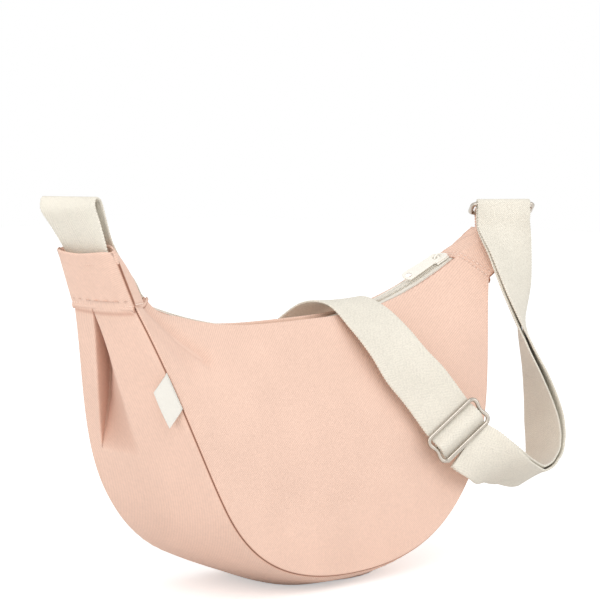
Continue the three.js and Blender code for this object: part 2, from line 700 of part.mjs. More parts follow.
// Loop of doubled webbing from the adjuster to the ring; the offset keeps the two plies apart
const plyApart = (WEB + WEB_GAP) / 2;
const right = tabAxis(1, RIGHT_TIP);
const chapeBar = right.end.clone().addScaledVector(right.tipRise, RING_REACH);
const ringFacing = new THREE.Vector3(-Math.cos(RIGHT_TIP.turn), -Math.sin(RIGHT_TIP.turn), 0);
const upright = new THREE.Vector3(0, 0, 1);
const ringRise = ringFacing.clone().multiplyScalar(Math.cos(RING_TILT))
  .addScaledVector(upright, Math.sin(RING_TILT));
const strapBar = chapeBar.clone().addScaledVector(ringRise, RING_LENGTH);
const ringFold = RING_WIRE / 2 + WEB_GAP + WEB / 2;
const tailDepth = behindBar - WEB - WEB_GAP;

function onPlies(rise) {
  return { ...onAdjuster(rise, behindBar - 2 * plyApart), offset: 2 * plyApart };
}

// Place on the strap where it hangs from the far bar of the ring
function onRing(up, out, offset) {
  const spot = strapBar.clone().addScaledVector(upright, up).addScaledVector(ringFacing, out);
  return { at: spot, across: right.across.clone(), offset };
}

const loopPath = [
  onPlies(-passHalf - PLY_START),
  onPlies(-passHalf - PLY_STRAIGHT),
  frame(113, -77.5, 78.5, [0.7, -0.26, 0.66], 2.1),
  frame(126, -83, 73.6, [0.6, -0.3, 0.74], 2),
  frame(141, -84, 70.7, [0.5, -0.36, 0.78], 1.8),
  frame(172, -77, 64.5, [0.7, -0.55, 0.4], 1.6),
  frame(206, -60, 60, [0.42, -0.8, 0.3], 1.6),
  frame(225, -50, 69, [0.1, -0.98, 0.15], 2),
  frame(231, -44, 91, [0, -1, 0.08], 2.8),
  frame(223, -42, 128, [-0.34, -0.94, 0.05], 2.6),
  frame(212, -43, 164, [-0.73, -0.68, 0], 1.8),
  frame(199.5, -42, 195, [-0.96, -0.28, 0], 1.6),
  frame(197.5, -38.5, 222, [-0.97, 0.23, 0], 1.6),
  onRing(-RING_LENGTH, 1, 2),
  onRing(-RING_LENGTH / 2, 0.4, ringFold),
  onRing(0, 0, ringFold),
];
const ringTurn = [0, 45, 90, 135, 180].map((degrees) => {
  const angle = THREE.MathUtils.degToRad(degrees);
  return onRing(2 * WEB_GAP + ringFold * Math.sin(angle), ringFold * Math.cos(angle), 0);
});

// The sewn end goes round the middle bar and back under the lower bar
const innerDepth = tailDepth - WEB - WEB_GAP;
const sewnEnd = [
  onAdjuster(-passHalf, tailDepth),
  onAdjuster(-ADJUSTER_LENGTH / 2, tailDepth),
  onAdjuster(-2 * barFold, tailDepth + barFold / 2),
  onAdjuster(-barFold * Math.SQRT1_2, -ADJUSTER_SETBACK + barFold * Math.SQRT1_2),
  onAdjuster(0, -ADJUSTER_SETBACK + barFold),
  onAdjuster(barFold * Math.SQRT1_2, -ADJUSTER_SETBACK + barFold * Math.SQRT1_2),
  onAdjuster(barFold, -ADJUSTER_SETBACK),
  onAdjuster(barFold * Math.SQRT1_2, -ADJUSTER_SETBACK - barFold * Math.SQRT1_2),
  onAdjuster(0, -ADJUSTER_SETBACK - barFold),
  onAdjuster(-ADJUSTER_LENGTH / 2, innerDepth),
  onAdjuster(-passHalf, innerDepth),
];

addMesh(bag, 'strap_back_run', webbing(backRun, 64), WEB_COLOUR);
addMesh(bag, 'strap_front_run', webbing(frontRun, 20), WEB_COLOUR);
addMesh(bag, 'strap_adjuster_pass', webbing(adjusterPass, 18), WEB_COLOUR);
addMesh(bag, 'strap_outer_ply', webbing(loopPath, 44, 1), WEB_COLOUR);
addMesh(bag, 'strap_inner_ply', webbing(loopPath, 44, -1), WEB_COLOUR);
addMesh(bag, 'strap_ring_fold', webbing(ringTurn, 10), WEB_COLOUR);
addMesh(bag, 'strap_sewn_end', webbing(sewnEnd, 30), WEB_COLOUR);

// Chape: a short loop of webbing out of the right tab, round the near bar of the ring
const chapeFold = RING_WIRE / 2 + WEB_GAP + WEB / 2;
const chapeRoot = CHAPE_ROOT + RING_REACH;

function onChape(rise, out) {
  const spot = chapeBar.clone().addScaledVector(right.tipRise, rise).addScaledVector(right.outward, out);
  return { at: spot, across: right.across.clone(), offset: 0 };
}

const chapeLegs = WEB / 2 + WEB_GAP;
const chapePath = [
  onChape(-chapeRoot, chapeLegs),
  onChape(-RING_REACH, chapeLegs),
  onChape(-chapeFold, chapeFold - WEB_GAP),
  onChape(0, chapeFold),
  onChape(chapeFold * Math.SQRT1_2, chapeFold * Math.SQRT1_2),
  onChape(chapeFold, 0),
  onChape(chapeFold * Math.SQRT1_2, -chapeFold * Math.SQRT1_2),
  onChape(0, -chapeFold),
  onChape(-chapeFold, -chapeFold + WEB_GAP),
  onChape(-RING_REACH, -chapeLegs),
  onChape(-chapeRoot, -chapeLegs),
];
addMesh(bag, 'ring_chape', webbing(chapePath, 40, 0, CHAPE_WIDTH), WEB_COLOUR);

// Ring: rectangular, hung forwards from the tip of the tab
const ringSpot = new THREE.Group();
ringSpot.position.copy(chapeBar);
const ringAcross = right.across.clone().negate();
const ringFrame = new THREE.Matrix4().makeBasis(ringAcross, ringRise, ringAcross.clone().cross(ringRise));
ringSpot.setRotationFromMatrix(ringFrame);
bag.add(ringSpot);
const ringShape = wireLoop(roundedLoop(RING_WIDTH, RING_LENGTH, RING_CORNER), RING_WIRE);
ringShape.translate(0, RING_LENGTH / 2, 0);
addMesh(ringSpot, 'strap_ring', ringShape, METAL_COLOUR, 0.3, 1);

// Adjuster: waisted wire frame and the middle bar that the sewn end holds
const adjusterSpot = new THREE.Group();
adjusterSpot.position.copy(ADJUSTER_CENTRE);
adjusterSpot.setRotationFromMatrix(new THREE.Matrix4().makeBasis(strapAcross, STRAP_RISE, strapOut));
bag.add(adjusterSpot);

function adjusterShape() {
  const loop = roundedLoop(ADJUSTER_WIDTH, ADJUSTER_LENGTH, ADJUSTER_CORNER, ADJUSTER_WAIST);
  const bar = new THREE.CylinderGeometry(ADJUSTER_BAR / 2, ADJUSTER_BAR / 2, ADJUSTER_WIDTH, 8);
  bar.rotateZ(Math.PI / 2).translate(0, 0, -ADJUSTER_SETBACK);
  return geometryOf(solidOf(wireLoop(loop, ADJUSTER_WIRE)).add(solidOf(bar)));
}

addMesh(adjusterSpot, 'strap_adjuster', adjusterShape(), METAL_COLOUR, 0.3, 1);

// Label: a small folded tape that stands out of the front seam over the gusset
function labelPoint(s, reach) {
  const span = LABEL_LENGTH / (3 * SEAM_UPPER_HANDLE);
  const u = -(LABEL_PLACE + mix(span, -span, s) / 2);
  const out = seamOutward(u);
  const lift = SEAM_GAP + LABEL + (LABEL_LIFT * reach) / LABEL_REACH;
  const seam = seamPoint(u).addScaledVector(out, lift);
  const y = -halfDepth(u) + reach * Math.cos(LABEL_DROOP);
  return new THREE.Vector3(seam.x, y, seam.y - reach * Math.sin(LABEL_DROOP));
}

const label = sheet((s, v) => labelPoint(s, v * LABEL_REACH), 4, 4, { wall: LABEL, side: 1 });
addMesh(bag, 'side_label', label, LABEL_COLOUR);

export default bag;
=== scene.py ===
# Dressed scene of the half-moon shoulder bag: cloth, webbing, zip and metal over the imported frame.
# Lengths in the code are millimetres unless a name says otherwise.
import math

import bpy
import numpy as np
from mathutils import Matrix, Vector, noise


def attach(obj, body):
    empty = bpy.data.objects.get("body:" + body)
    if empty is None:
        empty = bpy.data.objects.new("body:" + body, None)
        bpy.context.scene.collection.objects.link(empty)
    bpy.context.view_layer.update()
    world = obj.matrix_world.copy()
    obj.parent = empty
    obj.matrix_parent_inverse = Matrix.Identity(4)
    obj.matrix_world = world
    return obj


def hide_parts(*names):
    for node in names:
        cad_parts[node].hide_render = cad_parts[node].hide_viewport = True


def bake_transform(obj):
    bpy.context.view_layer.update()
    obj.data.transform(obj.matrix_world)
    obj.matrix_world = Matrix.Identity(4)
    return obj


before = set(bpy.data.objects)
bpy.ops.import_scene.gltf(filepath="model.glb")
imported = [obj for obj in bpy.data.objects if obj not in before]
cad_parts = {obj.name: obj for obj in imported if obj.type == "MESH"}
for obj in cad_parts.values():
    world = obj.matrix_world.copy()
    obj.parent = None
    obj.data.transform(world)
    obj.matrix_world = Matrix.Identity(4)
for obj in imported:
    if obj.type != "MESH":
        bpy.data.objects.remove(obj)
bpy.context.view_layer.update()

MM = 0.001

# Sizes shared with the solids
CANVAS = 1.2
LINING = 0.6
TAB_FOOT_X = 181
TAB_FOOT_Z = 201
SEAM_UPPER_HANDLE = 110
SEAM_UPPER_LEAN = math.radians(23.4)
SEAM_LOWER_HANDLE = 142
SEAM_BASE_Z = 9
BODY_DEPTH = 115
TAB_FOOT_WIDTH = 58
DEPTH_RAMP = 0.5
BASE_SWELL = 13
SIDE_SWELL = 5
END_SWELL = 3
FOOT_DROP = 11
PANEL_SWELL = 16
PANEL_SWELL_SKEW = 0.85
PANEL_END_SWELL = 1.5
ZIP_RADIUS = 400
ZIP_LOW_X = -13
ZIP_LOW_Z = 175.6
ZIP_LEFT_X = -152
ZIP_RIGHT_X = 166
MOUTH_GAP = 18
TAB_BULGE = 6.2
TAB_SKIN = 1.6
LEFT_TIP = {"x": 195, "y": 0, "z": 237, "width": 52, "hollow": -2, "puff": 3.5, "turn": 0.0}
RIGHT_TIP = {"x": 205, "y": -18.5, "z": 237.5, "width": 43, "hollow": 1, "puff": 0,
             "turn": math.radians(50)}
WEB_WIDTH = 40
WEB = 1.6
WEB_GAP = 0.4

# Sizes of the dressing alone
SEAM_ROLL = 1.0
LIP_ROLL = 1.3
LIP_FADE = 0.28
ROLL_STEPS = 6
ROLL_ROWS = ROLL_STEPS + 1
CLOTH_WALL = 0.9
LIP_WALL = 0.4
TAB_WALL = 0.8
SEAM_WALLS = np.linspace(0.8, 0.25, ROLL_ROWS)
STITCH_PITCH = 3.4
STITCH_LENGTH = 2.5
THREAD = 0.42


def mix(a, b, t):
    return a + (b - a) * t


def smooth(x, low, high):
    t = np.clip((np.asarray(x, float) - low) / (high - low), 0, 1)
    return t * t * (3 - 2 * t)


def unit(v):
    return v / np.maximum(np.linalg.norm(v, axis=-1, keepdims=True), 1e-9)


def run_lengths(path):
    """Distance along a path at each of its points."""
    return np.concatenate([[0], np.cumsum(np.linalg.norm(np.diff(path, axis=0), axis=1))])


def sampled(places, run, field):
    """Vectors that are known along a run, at other places on it."""
    return np.stack([np.interp(places, run, field[:, k]) for k in range(3)], 1)


def wrinkles(points, scale, seed):
    """Smooth noise from -1 to 1 at each point, with folds about as wide as scale."""
    flat = points.reshape(-1, 3) / scale + seed
    values = [noise.noise(Vector(p)) for p in flat]
    return np.array(values).reshape(points.shape[:-1])


# Meshes from grids of points
def make_object(name, verts, faces, uvs, material, painted_shade=None):
    mesh = bpy.data.meshes.new(name)
    mesh.from_pydata((np.asarray(verts) * MM).tolist(), [], faces)
    loops = np.empty(len(mesh.loops), np.int32)
    mesh.loops.foreach_get("vertex_index", loops)
    layer = mesh.uv_layers.new(name="UVMap")
    layer.data.foreach_set("uv", (np.asarray(uvs, float)[loops] * MM).ravel())
    mesh.polygons.foreach_set("use_smooth", np.ones(len(mesh.polygons), bool))
    mesh.materials.append(material)
    # Painted shade: a per-vertex value that darkens the twill's colour in seams, creases, the pleats and
    # under the tabs.
    if painted_shade is not None:
        mesh.attributes.new("painted_shade", "FLOAT", "POINT").data.foreach_set("value", painted_shade)
    mesh.update()
    obj = bpy.data.objects.new(name, mesh)
    bpy.context.scene.collection.objects.link(obj)
    return obj


def grid_faces(rows, cols, start, flip):
    i, j = np.meshgrid(np.arange(rows - 1), np.arange(cols - 1), indexing="ij")
    a = (start + i * cols + j).ravel()
    quads = np.stack([a, a + cols, a + cols + 1, a + 1], 1)
    return quads[:, ::-1] if flip else quads


def grid_normals(points, side):
    across = np.gradient(points, axis=0)
    along = np.gradient(points, axis=1)
    return unit(np.cross(across, along)) * side


def grid_lengths(points):
    """UV of a grid in millimetres, measured along its lines from its middle row and column."""
    rows, cols = points.shape[:2]
    u = np.zeros((rows, cols))
    v = np.zeros((rows, cols))
    u[1:] = np.cumsum(np.linalg.norm(np.diff(points, axis=0), axis=-1), axis=0)
    v[:, 1:] = np.cumsum(np.linalg.norm(np.diff(points, axis=1), axis=-1), axis=1)
    return np.stack([u - u[rows // 2], v - v[:, cols // 2][:, None]], -1)


def shell(points, wall, side, uv):
    """Vertices, faces and UVs of a closed sheet whose outer face is the grid."""
    rows, cols = points.shape[:2]
    normals = grid_normals(points, side)
    inner = points - normals * np.broadcast_to(wall, (rows, cols))[..., None]
    size = rows * cols
    faces = [grid_faces(rows, cols, 0, side < 0), grid_faces(rows, cols, size, side > 0)]
    ring = [(i, 0) for i in range(rows)] + [(rows - 1, j) for j in range(1, cols)]
    ring += [(i, cols - 1) for i in range(rows - 2, -1, -1)] + [(0, j) for j in range(cols - 2, 0, -1)]
    index = np.array([i * cols + j for i, j in ring])
    after = np.roll(index, -1)
    rim = np.stack([index, index + size, after + size, after], 1)
    faces.append(rim[:, ::-1] if side > 0 else rim)
    verts = np.concatenate([points.reshape(-1, 3), inner.reshape(-1, 3)])
    uv = uv.reshape(-1, 2)
    return verts, np.concatenate(faces).tolist(), np.concatenate([uv, uv])


def cloth(name, points, wall, side, material, painted_shade=0.0, uv=None):
    """A closed sheet; the painted shade value runs from 0 on open cloth to 1 at the bottom of a seam or a
    fold, and the twill darkens its colour by it.
    """
    verts, faces, uvs = shell(points, wall, side, grid_lengths(points) if uv is None else uv)
    painted_dark = np.broadcast_to(painted_shade, points.shape[:2]).ravel()
    return make_object(name, verts, faces, uvs, material, np.concatenate([painted_dark, painted_dark]))


# Materials
def principled(material):
    return material.node_tree.nodes["Principled BSDF"]


def new_material(name, colour, roughness, metallic=0.0, specular=0.3):
    material = bpy.data.materials.new(name)
    material.use_nodes = True
    shader = principled(material)
    shader.inputs["Base Color"].default_value = (*colour, 1)
    shader.inputs["Roughness"].default_value = roughness
    shader.inputs["Metallic"].default_value = metallic
    shader.inputs["Specular IOR Level"].default_value = specular
    return material


def node(material, kind, **inputs):
    made = material.node_tree.nodes.new(kind)
    for key, value in inputs.items():
        made.inputs[key.replace("_", " ")].default_value = value
    return made


def link(material, source, target):
    material.node_tree.links.new(source, target)


def math_node(material, operation, a, b=0.0):
    made = node(material, "ShaderNodeMath")
    made.operation = operation
    for socket, value in zip(made.inputs, (a, b)):
        if isinstance(value, (int, float)):
            socket.default_value = value
        else:
            link(material, value, socket)
    return made.outputs[0]


def ramp(material, value, stops):
    made = node(material, "ShaderNodeValToRGB")
    elements = made.color_ramp.elements
    while len(elements) < len(stops):
        elements.new(0.5)
    for element, (place, colour) in zip(elements, stops):
        element.position = place
        element.color = (*colour, 1)
    link(material, value, made.inputs["Fac"])
    return made.outputs["Color"]


def multiply(material, a, b):
    made = node(material, "ShaderNodeMix")
    made.data_type = "RGBA"
    made.blend_type = "MULTIPLY"
    made.inputs["Factor"].default_value = 1
    link(material, a, made.inputs["A"])
    link(material, b, made.inputs["B"])
    return made.outputs["Result"]


def bands(material, pitch, angle, distortion=0.6):
    """Fine parallel ridges across the cloth, pitch in millimetres."""
    place = node(material, "ShaderNodeUVMap")
    turn = node(material, "ShaderNodeMapping", Rotation=(0, 0, angle))
    link(material, place.outputs[0], turn.inputs["Vector"])
    wave_period = math.pi / 10
    wave = node(material, "ShaderNodeTexWave", Scale=wave_period / (pitch * MM), Distortion=distortion,
                Detail=2.0, Detail_Scale=1.5)
    link(material, turn.outputs[0], wave.inputs["Vector"])
    return wave.outputs["Fac"]


def cloud(material, size, detail=3.0):
    """Soft noise in space, size in millimetres."""
    place = node(material, "ShaderNodeTexCoord")
    made = node(material, "ShaderNodeTexNoise", Scale=1 / (size * MM), Detail=detail)
    link(material, place.outputs["Object"], made.inputs["Vector"])
    return made.outputs["Fac"]


def add_bump(material, height, depth, strength=1.0):
    """Depth in millimetres."""
    made = node(material, "ShaderNodeBump", Strength=strength, Distance=depth * MM)
    link(material, height, made.inputs["Height"])
    link(material, made.outputs["Normal"], principled(material).inputs["Normal"])


def set_colour(material, colour):
    link(material, colour, principled(material).inputs["Base Color"])


def grey(value):
    return (value, value, value)


def shade(colour, factor):
    return tuple(min(1.0, c * factor) for c in colour)


PEACH = (0.925, 0.645, 0.517)
CREAM = (0.89, 0.84, 0.73)
# Painted shade: colours the shade value turns the cloth to, from open cloth to the bottom of a seam.
PAINTED_SHADE_COLOURS = [(0.0, grey(1.0)), (0.5, (0.8, 0.7, 0.66)), (1.0, (0.4, 0.27, 0.22))]


def twill(name, colour, pitch=1.3):
    """Cotton twill: diagonal wales, slubs and slow patches of paler and pinker cloth, with painted shade
    from the mesh's shade value in seams, creases and pleats.
    """
    material = new_material(name, colour, 0.92, specular=0.15)
    shader = principled(material)
    shader.inputs["Sheen Weight"].default_value = 0.12
    shader.inputs["Sheen Roughness"].default_value = 0.5
    wale = bands(material, pitch, math.radians(58))
    yarn = bands(material, pitch * 0.62, math.radians(-32), 1.2)
    tints = [(0.3, shade(colour, 0.955)), (0.7, shade(colour, 1.03))]
    patch = ramp(material, cloud(material, 60), tints)
    slub = ramp(material, cloud(material, 2.2, 4.0), [(0.25, grey(0.91)), (0.75, grey(1.0))])
    line = ramp(material, wale, [(0.1, grey(0.89)), (0.75, grey(1.0))])
    # Painted shade: the per-vertex shade value darkens the cloth's colour through the ramp below.
    painted_dark = node(material, "ShaderNodeAttribute")
    painted_dark.attribute_name = "painted_shade"
    shade_paint = ramp(material, painted_dark.outputs["Fac"], PAINTED_SHADE_COLOURS)
    cloth_colour = multiply(material, multiply(material, patch, slub), line)
    set_colour(material, multiply(material, cloth_colour, shade_paint))
    weave = math_node(material, "MULTIPLY_ADD", yarn, 0.35)
    link(material, wale, weave.node.inputs[2])
    add_bump(material, weave, 0.12, 0.7)
    return material


def herringbone(name, colour, pitch=1.5, rib=6.5):
    """Woven tape: slanted yarns that turn about in ribs along its length."""
    material = new_material(name, colour, 0.88, specular=0.2)
    principled(material).inputs["Sheen Weight"].default_value = 0.1
    place = node(material, "ShaderNodeUVMap")
    split = node(material, "ShaderNodeSeparateXYZ")
    link(material, place.outputs[0], split.inputs[0])
    rib_wave = math_node(material, "PINGPONG", split.outputs["X"], rib * MM)
    slant = math_node(material, "ADD", split.outputs["Y"], rib_wave)
    turns = math_node(material, "MULTIPLY", slant, 2 * math.pi / (pitch * MM))
    yarn = math_node(material, "SINE", turns)
    height = math_node(material, "MULTIPLY_ADD", yarn, 0.5)
    height.node.inputs[2].default_value = 0.5
    fibre = cloud(material, 1.1, 4.0)
    rough = math_node(material, "MULTIPLY_ADD", fibre, 0.9)
    link(material, height, rough.node.inputs[2])
    line = ramp(material, height, [(0.1, grey(0.86)), (0.8, grey(1.0))])
    patch = ramp(material, cloud(material, 35), [(0.3, shade(colour, 0.95)), (0.7, shade(colour, 1.03))])
    speck = ramp(material, fibre, [(0.3, grey(0.87)), (0.62, grey(1.0))])
    set_colour(material, multiply(material, multiply(material, patch, speck), line))
    add_bump(material, rough, 0.16, 0.8)
    return material


def ribbed(name, colour, pitch, angle=0.0, roughness=0.8):
    """Fine even ribs, for tapes and the lining."""
    material = new_material(name, colour, roughness, specular=0.25)
    rib = bands(material, pitch, angle, 0.3)
    cross = bands(material, pitch, angle + math.pi / 2, 0.3)
    weave = math_node(material, "MULTIPLY", rib, cross)
    line = ramp(material, weave, [(0.0, shade(colour, 0.92)), (0.6, colour)])
    speck = ramp(material, cloud(material, 9), [(0.3, grey(0.96)), (0.7, grey(1.0))])
    set_colour(material, multiply(material, line, speck))
    add_bump(material, weave, 0.08, 0.6)
    return material


def satin(name, colour, roughness, metallic, wear):
    """Metal or moulded pieces: even finish with faint cloudy wear."""
    material = new_material(name, colour, roughness, metallic, 0.5)
    mark = cloud(material, 4, 5.0)
    set_colour(material, ramp(material, mark, [(0.3, shade(colour, 1 - wear)), (0.7, colour)]))
    low = max(0.05, roughness - 0.08)
    rough = node(material, "ShaderNodeMapRange", To_Min=low, To_Max=roughness + 0.1)
    link(material, mark, rough.inputs["Value"])
    link(material, rough.outputs[0], principled(material).inputs["Roughness"])
    add_bump(material, cloud(material, 0.7, 2.0), 0.02, 0.3)
    return material


CANVAS_CLOTH = twill("peach_twill", PEACH)
LINING_CLOTH = ribbed("peach_lining", shade(PEACH, 0.97), 0.9)
WEBBING = herringbone("cream_webbing", CREAM)
ZIP_TAPE = ribbed("zip_tape", (0.9, 0.85, 0.76), 0.8)
ZIP_COIL = satin("zip_coil", (0.88, 0.83, 0.74), 0.45, 0.0, 0.06)
ZIP_PAINT = satin("zip_paint", (0.9, 0.86, 0.78), 0.32, 0.0, 0.04)
NICKEL = satin("nickel", (0.52, 0.47, 0.41), 0.2, 1.0, 0.14)
LABEL_CLOTH = ribbed("label_tape", (0.84, 0.81, 0.74), 0.6, roughness=0.6)
THREAD_COTTON = ribbed("thread", (0.96, 0.76, 0.65), 0.7, math.radians(35))


# Outline of the bag
def seam_curve(u):
    t = 1 - np.abs(u)
    upper_x = TAB_FOOT_X - SEAM_UPPER_HANDLE * math.sin(SEAM_UPPER_LEAN)
    upper_z = TAB_FOOT_Z - SEAM_UPPER_HANDLE * math.cos(SEAM_UPPER_LEAN)
    a, b, c, d = (1 - t) ** 3, 3 * t * (1 - t) ** 2, 3 * t * t * (1 - t), t ** 3
    x = a * TAB_FOOT_X + b * upper_x + c * SEAM_LOWER_HANDLE
    z = a * TAB_FOOT_Z + b * upper_z + c * SEAM_BASE_Z + d * SEAM_BASE_Z
    return np.where(u < 0, -x, x), z


def seam_outward(u):
    step = 1e-4
    sign = np.where(u < 0, -1, 1)
    toward = np.where(u < 0, step, -step)
    x0, z0 = seam_curve(u)
    x1, z1 = seam_curve(u + toward)
    dx, dz = (x1 - x0) * sign, z1 - z0
    size = np.hypot(dx, dz)
    return -dz / size * sign, dx / size


def half_depth(u):
    ramp_up = np.clip((1 - np.abs(u)) / DEPTH_RAMP, 0, 1)
    return mix(TAB_FOOT_WIDTH, BODY_DEPTH, np.sin(ramp_up * math.pi / 2)) / 2


def zip_height(x):
    return ZIP_LOW_Z + ZIP_RADIUS - np.sqrt(ZIP_RADIUS ** 2 - (x - ZIP_LOW_X) ** 2)


def mouth_x(u):
    return np.where(u < 0, -u * ZIP_LEFT_X, u * ZIP_RIGHT_X)


def lip_lift(x):
    """How far the folded edge of the cloth stands above the zip."""
    crown = 5.9 * np.exp(-(((x + 8) / 70) ** 2))
    left_end = 8 * smooth(-x, 140, 158) - 1.6 * np.exp(-(((x + 136) / 9) ** 2))
    return crown + left_end


def lip_share(v):
    """How much of the lip's lift reaches a place down the panel."""
    return np.clip(1 - v / LIP_FADE, 0, 1) ** 2


def panel_base(u, v, facing):
    top_x = mouth_x(u)
    seam_x, seam_z = seam_curve(u)
    swell = mix(PANEL_END_SWELL, PANEL_SWELL, 1 - u * u) * np.sin(np.pi * v ** PANEL_SWELL_SKEW)
    y = facing * (mix(MOUTH_GAP / 2, half_depth(u), v) + swell)
    lift = lip_lift(top_x) * lip_share(v)
    z = mix(zip_height(top_x), seam_z, v) + swell * MOUTH_GAP / 2 / BODY_DEPTH + lift
    return np.stack([mix(top_x, seam_x, v), y, z], -1)


def roll_profile(radius, sweep, steps):
    """Advance and depth of a rolled edge, from flat to the end of its sweep."""
    angle = np.radians(np.linspace(0, sweep, steps + 1))
    return radius * np.sin(angle), radius * (1 - np.cos(angle))


SEAM_START = (1 + math.sqrt(2)) * SEAM_ROLL
SEAM_INSET = SEAM_START + 1.5
SEAM_SWEEP = 135
# Painted shade across the rows that roll into a seam, from open cloth to the seam line.
SEAM_PAINTED_SHADE = np.array([0, 0, 0.1, 0.45, 0.85, 1, 1])


def rolled_seam(corner, along, inward):
    """Rows that roll the edge of a piece into its seam."""
    advance, depth = roll_profile(SEAM_ROLL, SEAM_SWEEP, ROLL_STEPS)
    return [corner + along * (a - SEAM_START) - inward * d for a, d in zip(advance, depth)]


def seam_pucker(wave, edge):
    """Small ripples beside a seam."""
    return 0.22 * wave * np.exp(-((edge / 5) ** 2)) * smooth(edge, 0, 2)


# Front and back panels
PANEL_COLUMNS = 200
PANEL_ROWS = 64
PUCKER_STEP = 0.33
TAPE_TUCK = 1.7
# Painted shade along the creases of the front panel, per millimetre of crease depth.
CREASE_PAINTED_SHADE = 0.045
CREASES = [
    # Places (u, v) along a soft fold of the front panel, its depth and its half width
    ([(-0.97, 0.2), (-0.924, 0.255), (-0.815, 0.307), (-0.691, 0.291)], 3.2, 7),
    ([(-0.95, 0.62), (-0.86, 0.53), (-0.78, 0.49)], 1.6, 9),
]


def crease_depth(points, facing):
    total = np.zeros(points.shape[:-1])
    for places, depth, width in CREASES:
        path = np.array([panel_base(np.float64(u), np.float64(v), facing) for u, v in places])
        nearest = np.full(points.shape[:-1], 1e9)
        for a, b in zip(path[:-1], path[1:]):
            run = b - a
            t = np.clip(((points - a) @ run) / (run @ run), 0, 1)
            gap = np.linalg.norm(points - (a + t[..., None] * run), axis=-1)
            nearest = np.minimum(nearest, gap)
        total += depth * np.exp(-((nearest / width) ** 2))
    return total


def panel_piece(name, facing, seed):
    u = np.linspace(-0.998, 0.998, PANEL_COLUMNS)[:, None]
    length = np.linalg.norm(panel_base(u, 1.0, facing) - panel_base(u, 0.0, facing), axis=-1)
    place = np.linspace(0, 1, PANEL_ROWS)[None, :]
    place = mix(place, 0.5 - 0.5 * np.cos(np.pi * place), 0.6)
    first = LIP_ROLL / length
    last = 1 - SEAM_INSET / length
    body = panel_base(u, mix(first, last, place), facing)
    normals = grid_normals(body, facing)
    edge = np.minimum(place * length, (1 - place) * length)
    soft = smooth(edge, 0, 25)
    pucker = np.sin(2 * np.pi * np.cumsum(np.full(body.shape[:-1], PUCKER_STEP), axis=0) + seed)
    move = soft * (1.5 * wrinkles(body, 75, seed) + 0.6 * wrinkles(body, 28, seed + 9))
    move += seam_pucker(pucker, edge)
    crease = crease_depth(body, facing) if facing < 0 else np.zeros(body.shape[:-1])
    move -= crease
    body = body + normals * move[..., None]
    seam_x, seam_z = seam_curve(u[:, 0])
    corner = np.stack([seam_x, facing * half_depth(u[:, 0]), seam_z], -1)
    out_x, out_z = seam_outward(u[:, 0])
    outward = np.stack([out_x, np.zeros_like(out_x), out_z], -1)
    face = np.array([0, facing, 0])
    rolled = rolled_seam(corner, outward, face)
    up = unit(body[:, 0] - body[:, 2])
    advance, depth = roll_profile(LIP_ROLL, 180, ROLL_STEPS)
    lip = [body[:, 0] + up * a - normals[:, 0] * d for a, d in zip(advance, depth)][:0:-1]
    tape_x = mouth_x(u[:, 0])
    tape_y = np.full_like(tape_x, facing * (MOUTH_GAP / 2 - TAPE_TUCK))
    tape = np.stack([tape_x, tape_y, zip_height(tape_x) - 0.6], -1)
    middle = mix(tape, lip[0], 0.6)
    rows = [tape, middle, *lip, *body.transpose(1, 0, 2), *rolled]
    points = np.stack(rows, 1)
    wall = np.full(points.shape[1], CLOTH_WALL)
    wall[-ROLL_ROWS:] = SEAM_WALLS
    wall[:2 + ROLL_STEPS] = LIP_WALL
    # Painted shade: darker along the creases and in the rows rolled into the seam.
    painted_shade = np.zeros(points.shape[:2])
    painted_shade[:, -ROLL_ROWS - PANEL_ROWS:-ROLL_ROWS] = CREASE_PAINTED_SHADE * crease
    painted_shade[:, -ROLL_ROWS:] = SEAM_PAINTED_SHADE
    flat = points[..., [0, 2]]
    return cloth(name, points, wall[None, :], facing, CANVAS_CLOTH, painted_shade, flat)


front_panel = panel_piece("panel_front_cloth", -1, 3.1)
back_panel = panel_piece("panel_back_cloth", 1, 7.7)
for piece, solid in ((front_panel, "front_panel"), (back_panel, "back_panel")):
    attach(piece, "bag")
    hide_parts(solid)


# Gusset with a pleat under each tab
GUSSET_COLUMNS = 300
GUSSET_END = 1.014


def below_foot(u):
    """Distance along the seam below the foot of the tab."""
    table = np.linspace(0, 1.02, 400)
    x, z = seam_curve(np.minimum(table, 1.0))
    steps = np.hypot(np.diff(x), np.diff(z))
    total = np.concatenate([[0], np.cumsum(steps)])
    run = np.interp(np.abs(u), table, total)
    return total[-1] - run - np.maximum(0, np.abs(u) - 1) * 3 * SEAM_UPPER_HANDLE


def pleat_depth(fall):
    """How far the pleat under a tab sinks, by the distance below the foot of the tab."""
    return np.interp(fall, [-6, 0, 12, 30, 50, 70, 90, 106], [4, 6, 10, 14, 15, 12, 6, 0])


def gusset_swell(u):
    """How far the middle of the gusset bulges past the seam."""
    middle = mix(BASE_SWELL, SIDE_SWELL, smooth(np.abs(u), 0.03, 0.2))
    return mix(END_SWELL, middle, np.sin(np.clip(1 - np.abs(u), 0, 1) * np.pi / 2))


